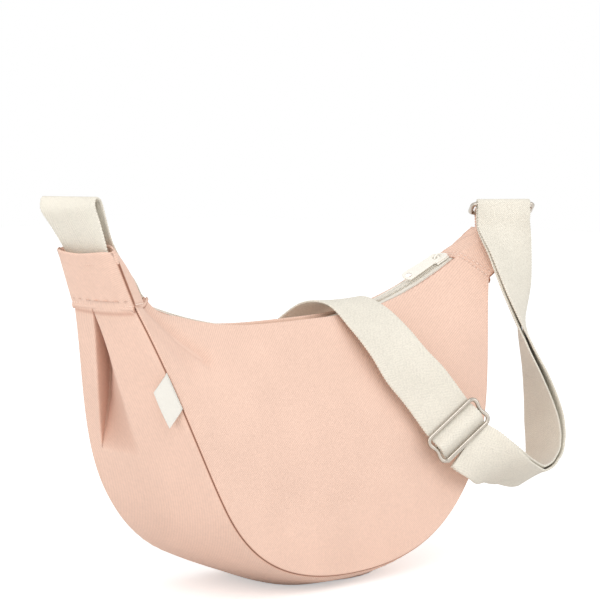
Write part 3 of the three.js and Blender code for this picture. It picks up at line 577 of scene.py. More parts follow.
def gusset_piece():
    u = np.linspace(-GUSSET_END, GUSSET_END, GUSSET_COLUMNS)
    fall = below_foot(u)
    half = half_depth(u)
    seam_x, seam_z = seam_curve(u)
    out_x, out_z = seam_outward(u)
    swell = gusset_swell(u)
    depth = pleat_depth(fall)
    near = np.clip(fall, -6, 106)
    soft_edge = 7.2 - 0.08 * near
    fold_edge = np.minimum(7 + 0.31 * near, half - 7)
    sharp = depth / (depth + 0.8)
    fold = 1.3 * sharp
    fold_sink = np.minimum(fold, depth)
    # Painted shade in the pleat, stronger where the pleat sinks further.
    pleat_painted_shade = depth / (depth + 3)
    flat = np.zeros_like(u)
    # Each row across the gusset: its place y, how far it sinks and how much painted shade it gets
    rows = []
    for t in np.linspace(0, 1, 28)[:-1]:
        rows.append((mix(-half + SEAM_INSET, soft_edge, t), flat, flat))
    for t in np.linspace(0, 1, 18)[:-1]:
        shade_paint = pleat_painted_shade * (0.36 * float(smooth(t, 0, 0.15)) + 0.5 * t)
        rows.append((mix(soft_edge, fold_edge + 1.0 * sharp, t), depth * mix(t, t * t, 0.3), shade_paint))
    for t in np.linspace(0, 1, 5)[:-1]:
        y = fold_edge + mix(1.0, 0.0, t) * sharp + 0.15 * t
        rows.append((y, mix(depth, fold_sink, t), pleat_painted_shade * mix(0.85, 0.35, t)))
    for angle in np.radians(np.linspace(0, 90, 5)[:-1]):
        y = fold_edge + 0.15 + fold * (1 - math.cos(angle)) + 0.1 * angle
        rows.append((y, fold_sink * (1 - math.sin(angle)), pleat_painted_shade * 0.3 * (1 - math.sin(angle))))
    for t in np.linspace(0, 1, 26):
        rows.append((mix(fold_edge + 0.35 + fold, half - SEAM_INSET, t), flat, flat))
    y, sink, shade_paint = (np.stack(part, 1) for part in zip(*rows))
    along = smooth(u, 0, 0.1) * (1 - smooth(u, 0.16, 0.3))
    foot = FOOT_DROP * along[:, None] * smooth(y, -45, -15) * (1 - smooth(y, 35, 52))
    out = swell[:, None] * (1 - (y / half[:, None]) ** 2) + foot - sink
    body_x = seam_x[:, None] + out_x[:, None] * out
    body = np.stack([body_x, y, seam_z[:, None] + out_z[:, None] * out], -1)
    outward = np.stack([out_x, np.zeros_like(out_x), out_z], -1)
    edge = half[:, None] - np.abs(y)
    soft = smooth(edge, 0, 22)
    move = soft * (1.1 * wrinkles(body, 65, 21.0) + 0.5 * wrinkles(body, 24, 5.0))
    pucker = np.sin(2 * np.pi * fall[:, None] / 9.5)
    move += seam_pucker(pucker, edge)
    body = body + outward[:, None, :] * move[..., None]
    rolls = {}
    for facing in (-1, 1):
        corner = np.stack([seam_x, facing * half, seam_z], -1)
        rolls[facing] = rolled_seam(corner, np.array([0, facing, 0]), outward)
    points = np.stack([*rolls[-1][::-1], *body.transpose(1, 0, 2), *rolls[1]], 1)
    points[..., 2] = np.maximum(points[..., 2], 0.3)
    wall = np.full(points.shape[1], CLOTH_WALL)
    wall[:ROLL_ROWS] = SEAM_WALLS[::-1]
    wall[-ROLL_ROWS:] = SEAM_WALLS
    # Painted shadow on the gusset just under the foot of each tab.
    painted_tab_shadow = 0.5 * np.exp(-(((fall - 4.4) / 1.2) ** 2))[:, None]
    painted_shade = np.zeros(points.shape[:2])
    painted_shade[:, :ROLL_ROWS] = SEAM_PAINTED_SHADE[::-1]
    painted_shade[:, -ROLL_ROWS:] = SEAM_PAINTED_SHADE
    painted_shade[:, ROLL_ROWS:-ROLL_ROWS] = np.maximum(painted_tab_shadow, shade_paint)
    return cloth("gusset_cloth", points, wall[None, :], -1, CANVAS_CLOTH, painted_shade)


gusset = gusset_piece()
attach(gusset, "bag")
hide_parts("gusset")


# Tabs: an outer and an inner piece at each end, sewn down both edges and hemmed at the tip
class TabAxis:
    """Middle line of a tab and the directions along, across and off it, at its foot and its tip."""

    def __init__(self, side, tip):
        self.foot = np.array([side * (TAB_FOOT_X - CANVAS), 0, TAB_FOOT_Z + 0.4])
        self.end = np.array([side * tip["x"], tip["y"], tip["z"]], float)
        self.rise = unit(self.end - self.foot)
        self.across = np.array([-math.sin(tip["turn"]), math.cos(tip["turn"]), 0])
        self.outward = unit(np.cross(self.across, self.rise)) * side
        self.tip_rise = np.cross(self.outward, self.across) * side
        self.level = unit(self.rise * [1, 0, 1])
        self.foot_outward = np.array([side * self.level[2], 0, -side * self.level[0]])
        self.turn = tip["turn"]

    def outward_at(self, a):
        return unit(mix(self.foot_outward, self.outward, a[..., None]))

    def across_at(self, a):
        return np.stack([-np.sin(self.turn * a), np.cos(self.turn * a), 0 * a], -1)


TAB_COLUMNS = 44
TAB_ROWS = 34
EDGE_ROLL = 0.8
HEM_ROLL = 0.9
HEM_TURN_IN = 8
OUTER_FOOT = [(3.6, -0.9), (3.5, 0.1), (3.0, 0.5), (1.7, 0.65), (0.6, 0.6)]
INNER_FOOT = [(3.5, -0.6), (3.4, 0.5), (2.8, 0.95), (1.4, 1.05)]


def tab_columns():
    """Places q across a tab, with the advance and depth of the roll at its sewn edges."""
    inner = np.linspace(-1, 1, TAB_COLUMNS)
    advance, depth = roll_profile(EDGE_ROLL, 180, ROLL_STEPS)
    q = np.concatenate([np.full(ROLL_STEPS, -1.0), inner, np.full(ROLL_STEPS, 1.0)])
    beyond = np.concatenate([-advance[:0:-1], np.zeros(TAB_COLUMNS), advance[1:]])
    sunk = np.concatenate([depth[:0:-1], np.zeros(TAB_COLUMNS), depth[1:]])
    return q[:, None], beyond[:, None], sunk[:, None]


# Painted shade in the rolled edges of a tab, under its foot and along its stitching.
TAB_EDGE_PAINTED_SHADE = np.array([1, 1, 1, 0.85, 0.5, 0.15])
FOOT_PAINTED_SHADE = np.array([1, 0.7, 0.15])
STITCH_PAINTED_SHADE = 0.3
OUTER_STITCHES = (5,)
INNER_STITCHES = {-1: (4,), 1: (4, 6)}


def tab_painted_shade(points, stitch_rows):
    """Painted shade in the sewn edges of a tab, under its foot and along its stitching."""
    painted_dark = np.zeros(points.shape[:2])
    painted_dark[:ROLL_STEPS] = TAB_EDGE_PAINTED_SHADE[:, None]
    painted_dark[-ROLL_STEPS:] = TAB_EDGE_PAINTED_SHADE[::-1, None]
    painted_dark *= 1 - smooth(np.arange(points.shape[1]), TAB_ROWS - 4, TAB_ROWS + 4)
    painted_dark[:, :3] = np.maximum(painted_dark[:, :3], FOOT_PAINTED_SHADE)
    for row in stitch_rows:
        painted_dark[:, row] = np.maximum(painted_dark[:, row], STITCH_PAINTED_SHADE)
    return painted_dark


def draw_in(body, normal, stitch_rows):
    """Pull the cloth in along each row of stitching."""
    for row in stitch_rows:
        for place, depth in ((row - 1, 0.1), (row, 0.3), (row + 1, 0.1)):
            body[:, place] -= normal[:, place] * depth
    return body


def hem(points, rise, outward):
    """Rows that roll the tip of a tab over and down inside it."""
    top = points[:, -1]
    advance, depth = roll_profile(HEM_ROLL, 180, ROLL_STEPS)
    count = len(top)
    from_edge = np.minimum(np.arange(count), np.arange(count)[::-1])
    full = mix(0.3, 1.0, smooth(from_edge, 3, 12))[:, None]
    top -= rise * (1.2 * (1 - full))
    rows = [top + full * (rise * a - outward * d) for a, d in zip(advance[1:], depth[1:])]
    rows.append(rows[-1] - rise * HEM_TURN_IN)
    return np.concatenate([points, np.stack(rows, 1)], 1)


def tab_ripples(body, normal, q, seed, first, puckered):
    """Soft folds over a tab, and small puckers beside the stitching at its foot."""
    place = np.arange(body.shape[1])[None, :]
    edge = 1 - np.abs(q)
    folds = 0.9 * wrinkles(body, 26, seed) + 0.4 * wrinkles(body, 11, seed)
    move = smooth(place, first, first + 10) * smooth(edge, 0, 0.3) * folds
    if puckered:
        pucker = np.sin(body[..., 1] * 2 * math.pi / 8.5 + seed)
        move = move + 0.35 * pucker * np.exp(-(((place - first - 3) / 4) ** 2)) * smooth(edge, 0, 0.2)
    return body + normal * move[..., None]


def outer_tab(name, side, tip, seed):
    axis = TabAxis(side, tip)
    q, beyond, sunk = tab_columns()
    a = np.linspace(0, 1, TAB_ROWS)[None, :]
    width = mix(TAB_FOOT_WIDTH, tip["width"], a) / 2
    foot_off = TAB_SKIN + END_SWELL * (1 - q * q)
    set_off = mix(foot_off, TAB_SKIN + TAB_BULGE * (1 - q ** 4), a)
    out = axis.outward_at(a)
    reach = q * (width - EDGE_ROLL) + beyond
    body = mix(axis.foot, axis.end, a[..., None]) + axis.across_at(a) * reach[..., None]
    body = body + out * (set_off - sunk)[..., None]
    body[..., 2] -= axis.foot_outward[2] * foot_off * (1 - a)
    lean = np.array([-side * math.sin(SEAM_UPPER_LEAN), 0, -math.cos(SEAM_UPPER_LEAN)])
    under = []
    for drop, lift in OUTER_FOOT:
        under.append(body[:, 0] + lean * drop + axis.foot_outward * lift)
    body = np.concatenate([np.stack(under, 1), body], 1)
    normal = np.concatenate([np.repeat(out[:, :1], len(under), 1), out], 1)
    body = draw_in(tab_ripples(body, normal, q, seed, len(under), True), normal, OUTER_STITCHES)
    body[:, -6:] += axis.tip_rise * (0.5 * np.sin(q * 4.5 + seed))[..., None]
    points = hem(body, axis.tip_rise, axis.outward)
    painted_dark = tab_painted_shade(points, OUTER_STITCHES)
    return cloth(name, points, TAB_WALL, side, CANVAS_CLOTH, painted_dark), points


def inner_tab(name, side, tip, seed):
    axis = TabAxis(side, tip)
    q, beyond, sunk = tab_columns()
    flat = MOUTH_GAP / TAB_FOOT_WIDTH
    slope = np.maximum(0, (np.abs(q) - flat) / (1 - flat))
    corner = axis.foot + axis.level * 0.8
    zip_x = float(mouth_x(np.float64(side)))
    zip_end = np.array([zip_x + side * 0.4, 0, float(zip_height(zip_x)) + 0.6])
    a = np.linspace(0, 1, TAB_ROWS)[None, :]
    low = mix(zip_end, corner, slope[..., None])
    hollow = tip["hollow"] * (1 - slope) * 4 * a * (1 - a) * (1 - a / 2)
    hollow = hollow - tip["puff"] * np.sin(np.pi * a) * (1 - q ** 6) * smooth(np.abs(q), 0.15, 0.5)
    set_off = mix(TAB_SKIN * slope, TAB_SKIN + TAB_BULGE * (1 - q ** 4), a) - hollow
    width = mix(TAB_FOOT_WIDTH, tip["width"], a) / 2
    out = axis.outward_at(a)
    reach = q * (width - EDGE_ROLL) + beyond
    body = mix(low, axis.end, a[..., None]) + axis.across_at(a) * reach[..., None]
    body = body - out * (set_off - sunk)[..., None]
    facing = np.sign(q[:, 0])
    facing[facing == 0] = 1
    v = np.clip(slope[:, 0], 0, 1)
    run = mix(ZIP_RIGHT_X, 3 * SEAM_UPPER_HANDLE, v)
    under = []
    for back, lift in INNER_FOOT:
        row = []
        for f, vv, r, yy in zip(facing, v, run, body[:, 0, 1]):
            u0 = np.float64(side * (1 - back / r))
            place = panel_base(u0, np.float64(vv), f)
            near = panel_base(u0 - side * 0.01, np.float64(vv), f)
            down = panel_base(u0, np.float64(min(1, vv + 0.02)), f)
            open_zip = 1 - float(smooth(abs(yy), 5, MOUTH_GAP / 2))
            level = mix(lift, min(lift, 0.5 * lift), open_zip)
            place = place + unit(np.cross(place - near, down - place)) * f * side * level
            place[1] = yy
            place[2] -= open_zip * lip_lift(mouth_x(u0)) * lip_share(vv)
            row.append(place)
        under.append(np.array(row))
    body = np.concatenate([np.stack(under, 1), body], 1)
    normal = -np.concatenate([np.repeat(out[:, :1], len(under), 1), out], 1)
    body = draw_in(tab_ripples(body, normal, q, seed, len(under), False), normal, INNER_STITCHES[side])
    points = hem(body, axis.tip_rise, -axis.outward)
    painted_dark = tab_painted_shade(points, INNER_STITCHES[side])
    return cloth(name, points, TAB_WALL, -side, CANVAS_CLOTH, painted_dark), points


tabs = {}
for end_name, side, tip, seed in (("left", -1, LEFT_TIP, 4.4), ("right", 1, RIGHT_TIP, 8.8)):
    outer = outer_tab(end_name + "_tab_outer_cloth", side, tip, seed)
    inner = inner_tab(end_name + "_tab_inner_cloth", side, tip, seed + 2)
    tabs[end_name] = (outer[1], inner[1])
    for piece, solid in ((outer[0], "outer"), (inner[0], "inner")):
        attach(piece, "bag")
        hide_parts(end_name + "_tab_" + solid)


# Lining: loose sheets that hang inside the panels and the gusset
LINING_END = 0.93
LINING_MARGIN = 9
LINING_GAP = 3.2
LINING_DROP = 4.2
PLEAT_ROOM = 2.5


def lining_panel(name, facing):
    u = np.linspace(-LINING_END, LINING_END, 60)[:, None]
    length = np.linalg.norm(panel_base(u, 1.0, facing) - panel_base(u, 0.0, facing), axis=-1)
    margin = LINING_MARGIN / length
    v = mix(margin, 1 - margin, np.linspace(0, 1, 26)[None, :])
    points = panel_base(u, v, facing)
    points[..., 2] -= lip_lift(mouth_x(u)) * lip_share(v)
    points = points - grid_normals(points, facing) * LINING_GAP
    folds = 0.5 + 0.5 * wrinkles(points, 30, 2.0)
    points = points - grid_normals(points, facing) * folds[..., None]
    return cloth(name, points, LINING, facing, LINING_CLOTH)


def lining_base(name):
    u = np.linspace(-LINING_END, LINING_END, 80)
    y = np.linspace(-1, 1, 24)[None, :]
    seam_x, seam_z = seam_curve(u)
    out_x, out_z = seam_outward(u)
    half = half_depth(u) - 6
    room = (pleat_depth(below_foot(u)) + PLEAT_ROOM)[:, None] * smooth(1 - np.abs(y), 0, 0.35)
    out = gusset_swell(u)[:, None] * (1 - y * y) - LINING_DROP - room
    points = np.stack([seam_x[:, None] + out_x[:, None] * out, half[:, None] * y,
                       np.maximum(3.5, seam_z[:, None] + out_z[:, None] * out)], -1)
    return cloth(name, points, LINING, -1, LINING_CLOTH)


for piece, solid in ((lining_panel("lining_front_cloth", -1), "lining_front"),
                     (lining_panel("lining_back_cloth", 1), "lining_back"),
                     (lining_base("lining_gusset_cloth"), "lining_gusset")):
    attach(piece, "bag")
    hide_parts(solid)


# Tubes and threads
def tube(path, radius, sides, closed):
    """Vertices and faces of a round wire along a path."""
    count = len(path)
    if closed:
        tangent = unit(np.roll(path, -1, 0) - np.roll(path, 1, 0))
    else:
        tangent = unit(np.gradient(path, axis=0))
    guide = np.array([0.31, 0.52, 0.79])
    side = unit(np.cross(tangent, guide))
    for i in range(1, count):
        side[i] = unit(side[i - 1] - tangent[i] * (side[i - 1] @ tangent[i]))
    other = np.cross(tangent, side)
    angle = np.linspace(0, 2 * np.pi, sides, endpoint=False)
    radius = np.broadcast_to(radius, (count,))
    verts = path[:, None] + radius[:, None, None] * (
        side[:, None] * np.cos(angle)[None, :, None] + other[:, None] * np.sin(angle)[None, :, None])
    faces = []
    for i in range(count if closed else count - 1):
        n = (i + 1) % count
        for k in range(sides):
            m = (k + 1) % sides
            faces.append([i * sides + k, i * sides + m, n * sides + m, n * sides + k])
    if not closed:
        faces.append(list(range(sides))[::-1])
        faces.append([(count - 1) * sides + k for k in range(sides)])
    return verts.reshape(-1, 3), faces


def joined(parts):
    verts = []
    faces = []
    start = 0
    for points, quads in parts:
        verts.append(points)
        faces += [[start + k for k in face] for face in quads]
        start += len(points)
    return np.concatenate(verts), faces


def metal_piece(name, parts, material):
    verts, faces = joined(parts)
    return make_object(name, verts, faces, verts[:, :2], material)


def resample(path, normals, pitch):
    run = run_lengths(path)
    count = max(2, int(run[-1] / pitch))
    places = np.linspace(0, run[-1], count + 1)
    return sampled(places, run, path), unit(sampled(places, run, normals))


def stitches(name, lines, material):
    """Rows of thread: each stitch is a short bent tube that dips into the cloth at both ends."""
    parts = []
    for path, normals in lines:
        at, out = resample(path, normals, STITCH_PITCH)
        share = STITCH_LENGTH / STITCH_PITCH
        for i in range(len(at) - 1):
            t = np.linspace(0.5 - share / 2, 0.5 + share / 2, 6)[:, None]
            lift = THREAD * (np.sin(np.pi * np.linspace(0, 1, 6)) * 1.1 - 0.55)
            line = mix(at[i], at[i + 1], t) + out[i] * lift[:, None]
            parts.append(tube(line, THREAD, 6, False))
    verts, faces = joined(parts)
    piece = make_object(name, verts, faces, verts[:, :2], material)
    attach(piece, "bag")
    return piece


def grid_line(points, normals, row=None, col=None, span=(0.0, 1.0)):
    line = points[:, row] if col is None else points[col]
    out = normals[:, row] if col is None else normals[col]
    first, last = (int(round(s * (len(line) - 1))) for s in span)
    return line[first:last + 1], out[first:last + 1]


lines = []
for end_name, side in (("left", -1), ("right", 1)):
    outer_points, inner_points = tabs[end_name]
    outer_out = grid_normals(outer_points, side)
    inner_out = grid_normals(inner_points, -side)
    for row in OUTER_STITCHES:
        lines.append(grid_line(outer_points, outer_out, row=row, span=(0.11, 0.89)))
    for row in INNER_STITCHES[side]:
        lines.append(grid_line(inner_points, inner_out, row=row, span=(0.11, 0.89)))
stitches("tab_topstitch", lines, THREAD_COTTON)


# Webbing
def centripetal(points, per_span):
    """Points along a smooth curve through all the given ones, and the place of each."""
    ends = np.concatenate([[2 * points[0] - points[1]], points, [2 * points[-1] - points[-2]]])
    curve = []
    place = []
    for i in range(1, len(ends) - 2):
        p0, p1, p2, p3 = ends[i - 1:i + 3]
        steps = ((p0, p1), (p1, p2), (p2, p3))
        d1, d2, d3 = (max(1e-4, np.linalg.norm(b - a)) ** 0.5 for a, b in steps)
        t1 = (p1 - p0) / d1 - (p2 - p0) / (d1 + d2) + (p2 - p1) / d2
        t2 = (p2 - p1) / d2 - (p3 - p1) / (d2 + d3) + (p3 - p2) / d3
        t1, t2 = t1 * d2, t2 * d2
        t = np.linspace(0, 1, per_span, endpoint=False)[:, None]
        square = 3 * (p2 - p1) - 2 * t1 - t2
        cube = 2 * (p1 - p2) + t1 + t2
        curve.append(p1 + t1 * t + square * t ** 2 + cube * t ** 3)
        place.append(i - 1 + t[:, 0])
    curve.append(points[-1:])
    place.append([len(points) - 1.0])
    return np.concatenate(curve), np.concatenate(place)


EASE = 8


class Strap:
    """Centre line, width direction and set-off of a run of webbing, sampled evenly."""

    def __init__(self, frames, step=0.55, side=0):
        at = np.array([f[0] for f in frames], float)
        curve, place = centripetal(at, 40)
        tangent = unit(np.gradient(curve, axis=0))
        span = []
        for k, f in enumerate(frames):
            t = tangent[np.argmin(np.abs(place - k))]
            a = np.array(f[1], float)
            span.append(unit(a - t * (a @ t)))
        span = np.array(span)
        offset = np.array([f[2] if len(f) > 2 else 0.0 for f in frames])
        knots = np.arange(len(frames))
        across = unit(sampled(place, knots, span))
        out = unit(np.cross(tangent, across))
        curve = curve + out * (np.interp(place, knots, offset) * side)[:, None]
        run = run_lengths(curve)
        s = np.linspace(0, run[-1], int(run[-1] / step) + 1)
        self.at = sampled(s, run, curve)
        kernel = np.hanning(2 * EASE + 1)
        kernel = kernel / kernel.sum()
        padded = [np.pad(c, EASE, "edge") for c in sampled(s, run, across).T]
        self.across = unit(np.stack([np.convolve(c, kernel, "valid") for c in padded], 1))
        tangent = unit(np.gradient(self.at, axis=0))
        self.out = unit(np.cross(tangent, self.across))
        self.s = s
        self.place = np.interp(s, run, place)


class Chain:
    """Runs of webbing laid end to end."""

    def __init__(self, parts):
        self.at, self.across, self.out = (np.concatenate([part[k] for part in parts]) for k in range(3))
        self.s = run_lengths(self.at)


HALF_PROFILE = np.array([0.35, 0.7, 0.9, 0.95, 0.98, 0.994, 1])
PROFILE = np.concatenate([-HALF_PROFILE[::-1], [0], HALF_PROFILE])
SELVAGE_WAVE = 0.28
SELVAGE_PITCH = 2.2


def webbing_mesh(name, strap, first=0, last=None, wide=WEB_WIDTH, material=WEBBING):
    """Flat woven tape with rounded, scalloped selvages."""
    pick = slice(first, last)
    at, across, out, s = strap.at[pick], strap.across[pick], strap.out[pick], strap.s[pick]
    edge = np.clip((np.abs(PROFILE) - 0.95) / 0.05, 0, 1)
    thick = WEB / 2 * np.sqrt(1 - edge ** 2) + 0.08 * np.exp(-(((np.abs(PROFILE) - 0.93) / 0.03) ** 2))
    top = np.arange(len(PROFILE))
    loop = np.concatenate([top, top[-2:0:-1]])
    sign = np.concatenate([np.ones(len(top)), -np.ones(len(top) - 2)])
    reach = PROFILE[loop] * wide / 2
    scallop = np.clip((np.abs(PROFILE[loop]) - 0.94) / 0.06, 0, 1) * np.sign(PROFILE[loop])
    wave = SELVAGE_WAVE * np.sin(2 * np.pi * s / SELVAGE_PITCH)
    width = reach[None, :] + scallop[None, :] * wave[:, None]
    height = (thick[loop] * sign)[None, :] * np.ones_like(width)
    verts = at[:, None] + across[:, None] * width[..., None] + out[:, None] * height[..., None]
    count, size = width.shape
    i, k = np.meshgrid(np.arange(count - 1), np.arange(size), indexing="ij")
    m = (k + 1) % size
    quads = np.stack([i * size + k, i * size + m, (i + 1) * size + m, (i + 1) * size + k], -1)
    quads = quads.reshape(-1, 4)
    caps = [list(range(size))[::-1], [(count - 1) * size + k for k in range(size)]]
    uv = np.stack([np.broadcast_to(reach, width.shape), np.broadcast_to(s[:, None], width.shape)], -1)
    faces = quads.tolist() + caps
    return make_object(name, verts.reshape(-1, 3), faces, uv.reshape(-1, 2), material)


left_tab = TabAxis(-1, LEFT_TIP)
right_tab = TabAxis(1, RIGHT_TIP)


def on_left_tab(rise):
    return (left_tab.end + left_tab.rise * rise, (0, 1, 0))


ADJUSTER_WIRE = 3
ADJUSTER_BAR = 2.8
ADJUSTER_WIDTH = 46.6
ADJUSTER_LENGTH = 21
ADJUSTER_CORNER = 4
ADJUSTER_WAIST = 1.4
ADJUSTER_SETBACK = 2
ADJUSTER_CENTRE = np.array([93, -70.5, 100])
STRAP_RISE = unit(np.array([-0.55, 0.3, 0.78]))
STRAP_ACROSS = np.array([0.72, -0.3, 0.62])
STRAP_ACROSS = unit(STRAP_ACROSS - STRAP_RISE * (STRAP_ACROSS @ STRAP_RISE))
STRAP_OUT = np.cross(STRAP_ACROSS, STRAP_RISE)
BEHIND_BAR = -(ADJUSTER_WIRE / 2 + WEB_GAP + WEB / 2)
BAR_FOLD = ADJUSTER_BAR / 2 + WEB_GAP + WEB / 2
OVER_BAR = -ADJUSTER_SETBACK + BAR_FOLD + WEB + WEB_GAP
PASS_HALF = ADJUSTER_LENGTH / 2 + ADJUSTER_WIRE
PLY_APART = (WEB + WEB_GAP) / 2


def on_adjuster(rise, out, offset=0.0):
    return (ADJUSTER_CENTRE + STRAP_RISE * rise + STRAP_OUT * out, STRAP_ACROSS, offset)


def on_plies(rise):
    return on_adjuster(rise, BEHIND_BAR - 2 * PLY_APART, 2 * PLY_APART)


long_frames = [
    on_left_tab(-26),
    on_left_tab(-13),
    on_left_tab(0),
    ((-204, 0, 254), (-0.2, 0.98, 0)),
    ((-210, 0, 264.5), (-0.31, 0.95, 0)),
    ((-208.5, 0.5, 269.8), (-0.31, 0.95, 0)),
    ((-203.2, 2.2, 268.6), (-0.31, 0.95, 0)),
    ((-195.5, 4.7, 256), (-0.25, 0.97, 0)),
    ((-187, 7.5, 244), (-0.1, 0.99, 0)),
    ((-177, 11, 235.5), (0.05, 0.99, 0.05)),
    ((-160, 20, 226.5), (0.3, 0.95, -0.05)),
    ((-138, 36, 209), (0.2, 0.9, -0.3)),
    ((-112, 57, 178), (-0.35, 0.6, -0.65)),
    ((-62, 75, 140), (-0.26, 0.1, -0.95)),
    ((-8, 72, 128), (0.25, 0.1, -0.95)),
    ((32, 53, 157), (0.88, 0.18, -0.4)),
    ((45.6, 21.3, 185), (0.97, 0.12, -0.2)),
    ((48.4, -2.6, 190.4), (0.99, 0.06, 0.08)),
    ((50.1, -22.8, 179.6), (0.96, -0.03, 0.3)),
    ((56.3, -38.3, 162.5), (0.9, -0.1, 0.42)),
    ((62.4, -47.3, 147.2), (0.81, -0.2, 0.54)),
    ((73.1, -55.9, 131.4), (0.74, -0.28, 0.61)),
    on_adjuster(PASS_HALF, BEHIND_BAR),
    on_adjuster(ADJUSTER_LENGTH / 2 - ADJUSTER_WIRE / 2, BEHIND_BAR),
    on_adjuster(WEB, OVER_BAR - WEB_GAP / 2),
    on_adjuster(-WEB, OVER_BAR - WEB_GAP / 2),
    on_adjuster(-ADJUSTER_LENGTH / 2 + ADJUSTER_WIRE / 2, BEHIND_BAR),
    on_adjuster(-PASS_HALF, BEHIND_BAR),
]
long_run = Strap(long_frames)
strap_long = webbing_mesh("strap_long_webbing", long_run)
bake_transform(strap_long)
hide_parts("strap_back_run", "strap_front_run", "strap_adjuster_pass")

TAIL_DEPTH = BEHIND_BAR - WEB - WEB_GAP
INNER_DEPTH = TAIL_DEPTH - WEB - WEB_GAP
sewn_frames = [
    on_adjuster(-PASS_HALF, TAIL_DEPTH),
    on_adjuster(-ADJUSTER_LENGTH / 2, TAIL_DEPTH),
    on_adjuster(-2 * BAR_FOLD, TAIL_DEPTH + BAR_FOLD / 2),
]
for degrees in range(135, -91, -45):
    angle = math.radians(degrees)
    out = BAR_FOLD * math.sin(angle) - ADJUSTER_SETBACK
    sewn_frames.append(on_adjuster(BAR_FOLD * math.cos(angle), out))
sewn_frames += [on_adjuster(-ADJUSTER_LENGTH / 2, INNER_DEPTH), on_adjuster(-PASS_HALF, INNER_DEPTH)]
sewn_run = Strap(sewn_frames, 0.4)
strap_sewn = webbing_mesh("strap_sewn_webbing", sewn_run)
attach(strap_sewn, "adjuster")
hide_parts("strap_sewn_end")

RING_WIRE = 3.4
RING_WIDTH = 45.5
RING_LENGTH = 15
RING_CORNER = 3.5
RING_REACH = 11
RING_TILT = math.radians(28)
UPRIGHT = np.array([0, 0, 1.0])
chape_bar = right_tab.end + right_tab.tip_rise * RING_REACH
ring_facing = np.array([-math.cos(RIGHT_TIP["turn"]), -math.sin(RIGHT_TIP["turn"]), 0])
ring_rise = ring_facing * math.cos(RING_TILT) + UPRIGHT * math.sin(RING_TILT)
strap_bar = chape_bar + ring_rise * RING_LENGTH
RING_FOLD = RING_WIRE / 2 + WEB_GAP + WEB / 2


def on_ring(up, out, offset=0.0):
    return (strap_bar + UPRIGHT * up + ring_facing * out, right_tab.across, offset)


loop_frames = [
    on_plies(-PASS_HALF),
    ((105, -72.8, 86.5), (0.53, -0.26, 0.81), 2),
    ((112.6, -77.3, 81.2), (0.43, -0.4, 0.81), 2.1),
    ((123, -79, 74.3), (0.37, -0.61, 0.7), 2),
    ((140.4, -76.6, 67.3), (0.32, -0.85, 0.42), 1.8),
    ((167.5, -69.2, 59.7), (0.3, -0.91, 0.3), 1.6),
    ((198.8, -60.2, 58.5), (0.14, -0.82, 0.55), 1.6),
    ((219.8, -51.6, 70), (-0.08, -0.88, 0.47), 2),
    ((227.3, -44.8, 93), (-0.22, -0.96, 0.19), 2.8),
    ((221.2, -42.5, 124.7), (-0.47, -0.88, -0.08), 2.6),
    ((207.3, -40.8, 158.6), (-0.69, -0.7, -0.19), 1.8),
    ((198.9, -40.1, 193.2), (-0.97, -0.19, -0.14), 1.6),
    ((196.6, -34.5, 222.3), (-0.97, 0.21, -0.1), 1.6),
    on_ring(-RING_LENGTH, 1, 2),
    on_ring(-RING_LENGTH / 2, 0.4, RING_FOLD),
    on_ring(0, 0, RING_FOLD),
]
turn_frames = []
for degrees in range(0, 181, 15):
    angle = math.radians(degrees)
    turn_frames.append(on_ring(RING_FOLD * math.sin(angle), RING_FOLD * math.cos(angle)))
turn_run = Strap(turn_frames, 0.4)

# The loop from the adjuster to the ring: two plies below the cut, one folded band above it
CUT_FRAME = 9
plies = {}
for ply_name, side in (("outer", 1), ("inner", -1)):
    ply = Strap(loop_frames, side=side)
    cut = int(np.argmin(np.abs(ply.place - CUT_FRAME)))
    near = webbing_mesh("strap_" + ply_name + "_near_webbing", ply, 0, cut + 1)
    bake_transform(near)
    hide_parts("strap_" + ply_name + "_ply")
    plies[ply_name] = (ply.at[cut:], ply.across[cut:], ply.out[cut:])
fold_part = (turn_run.at[1:-1], turn_run.across[1:-1], turn_run.out[1:-1])
back_part = (plies["inner"][0][::-1], plies["inner"][1][::-1], -plies["inner"][2][::-1])
upper_run = Chain([plies["outer"], fold_part, back_part])
strap_upper = webbing_mesh("strap_upper_webbing", upper_run)
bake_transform(strap_upper)
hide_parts("strap_outer_ply", "strap_inner_ply", "strap_ring_fold")


CHAPE_WIDTH = 37


def on_chape(rise, out):
    return (chape_bar + right_tab.tip_rise * rise + right_tab.outward * out, right_tab.across)


CHAPE_ROOT = 3 + RING_REACH
CHAPE_LEGS = WEB / 2 + WEB_GAP
chape_frames = [on_chape(-CHAPE_ROOT, CHAPE_LEGS), on_chape(-RING_REACH, CHAPE_LEGS),
                on_chape(-RING_FOLD, RING_FOLD - WEB_GAP)]
for degrees in range(90, -91, -15):
    angle = math.radians(degrees)
    chape_frames.append(on_chape(RING_FOLD * math.cos(angle), RING_FOLD * math.sin(angle)))
chape_frames += [on_chape(-RING_FOLD, -RING_FOLD + WEB_GAP), on_chape(-RING_REACH, -CHAPE_LEGS),
                 on_chape(-CHAPE_ROOT, -CHAPE_LEGS)]
chape_run = Strap(chape_frames, 0.4)
chape = webbing_mesh("ring_chape_webbing", chape_run, wide=CHAPE_WIDTH, material=CANVAS_CLOTH)
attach(chape, "bag")
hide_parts("ring_chape")


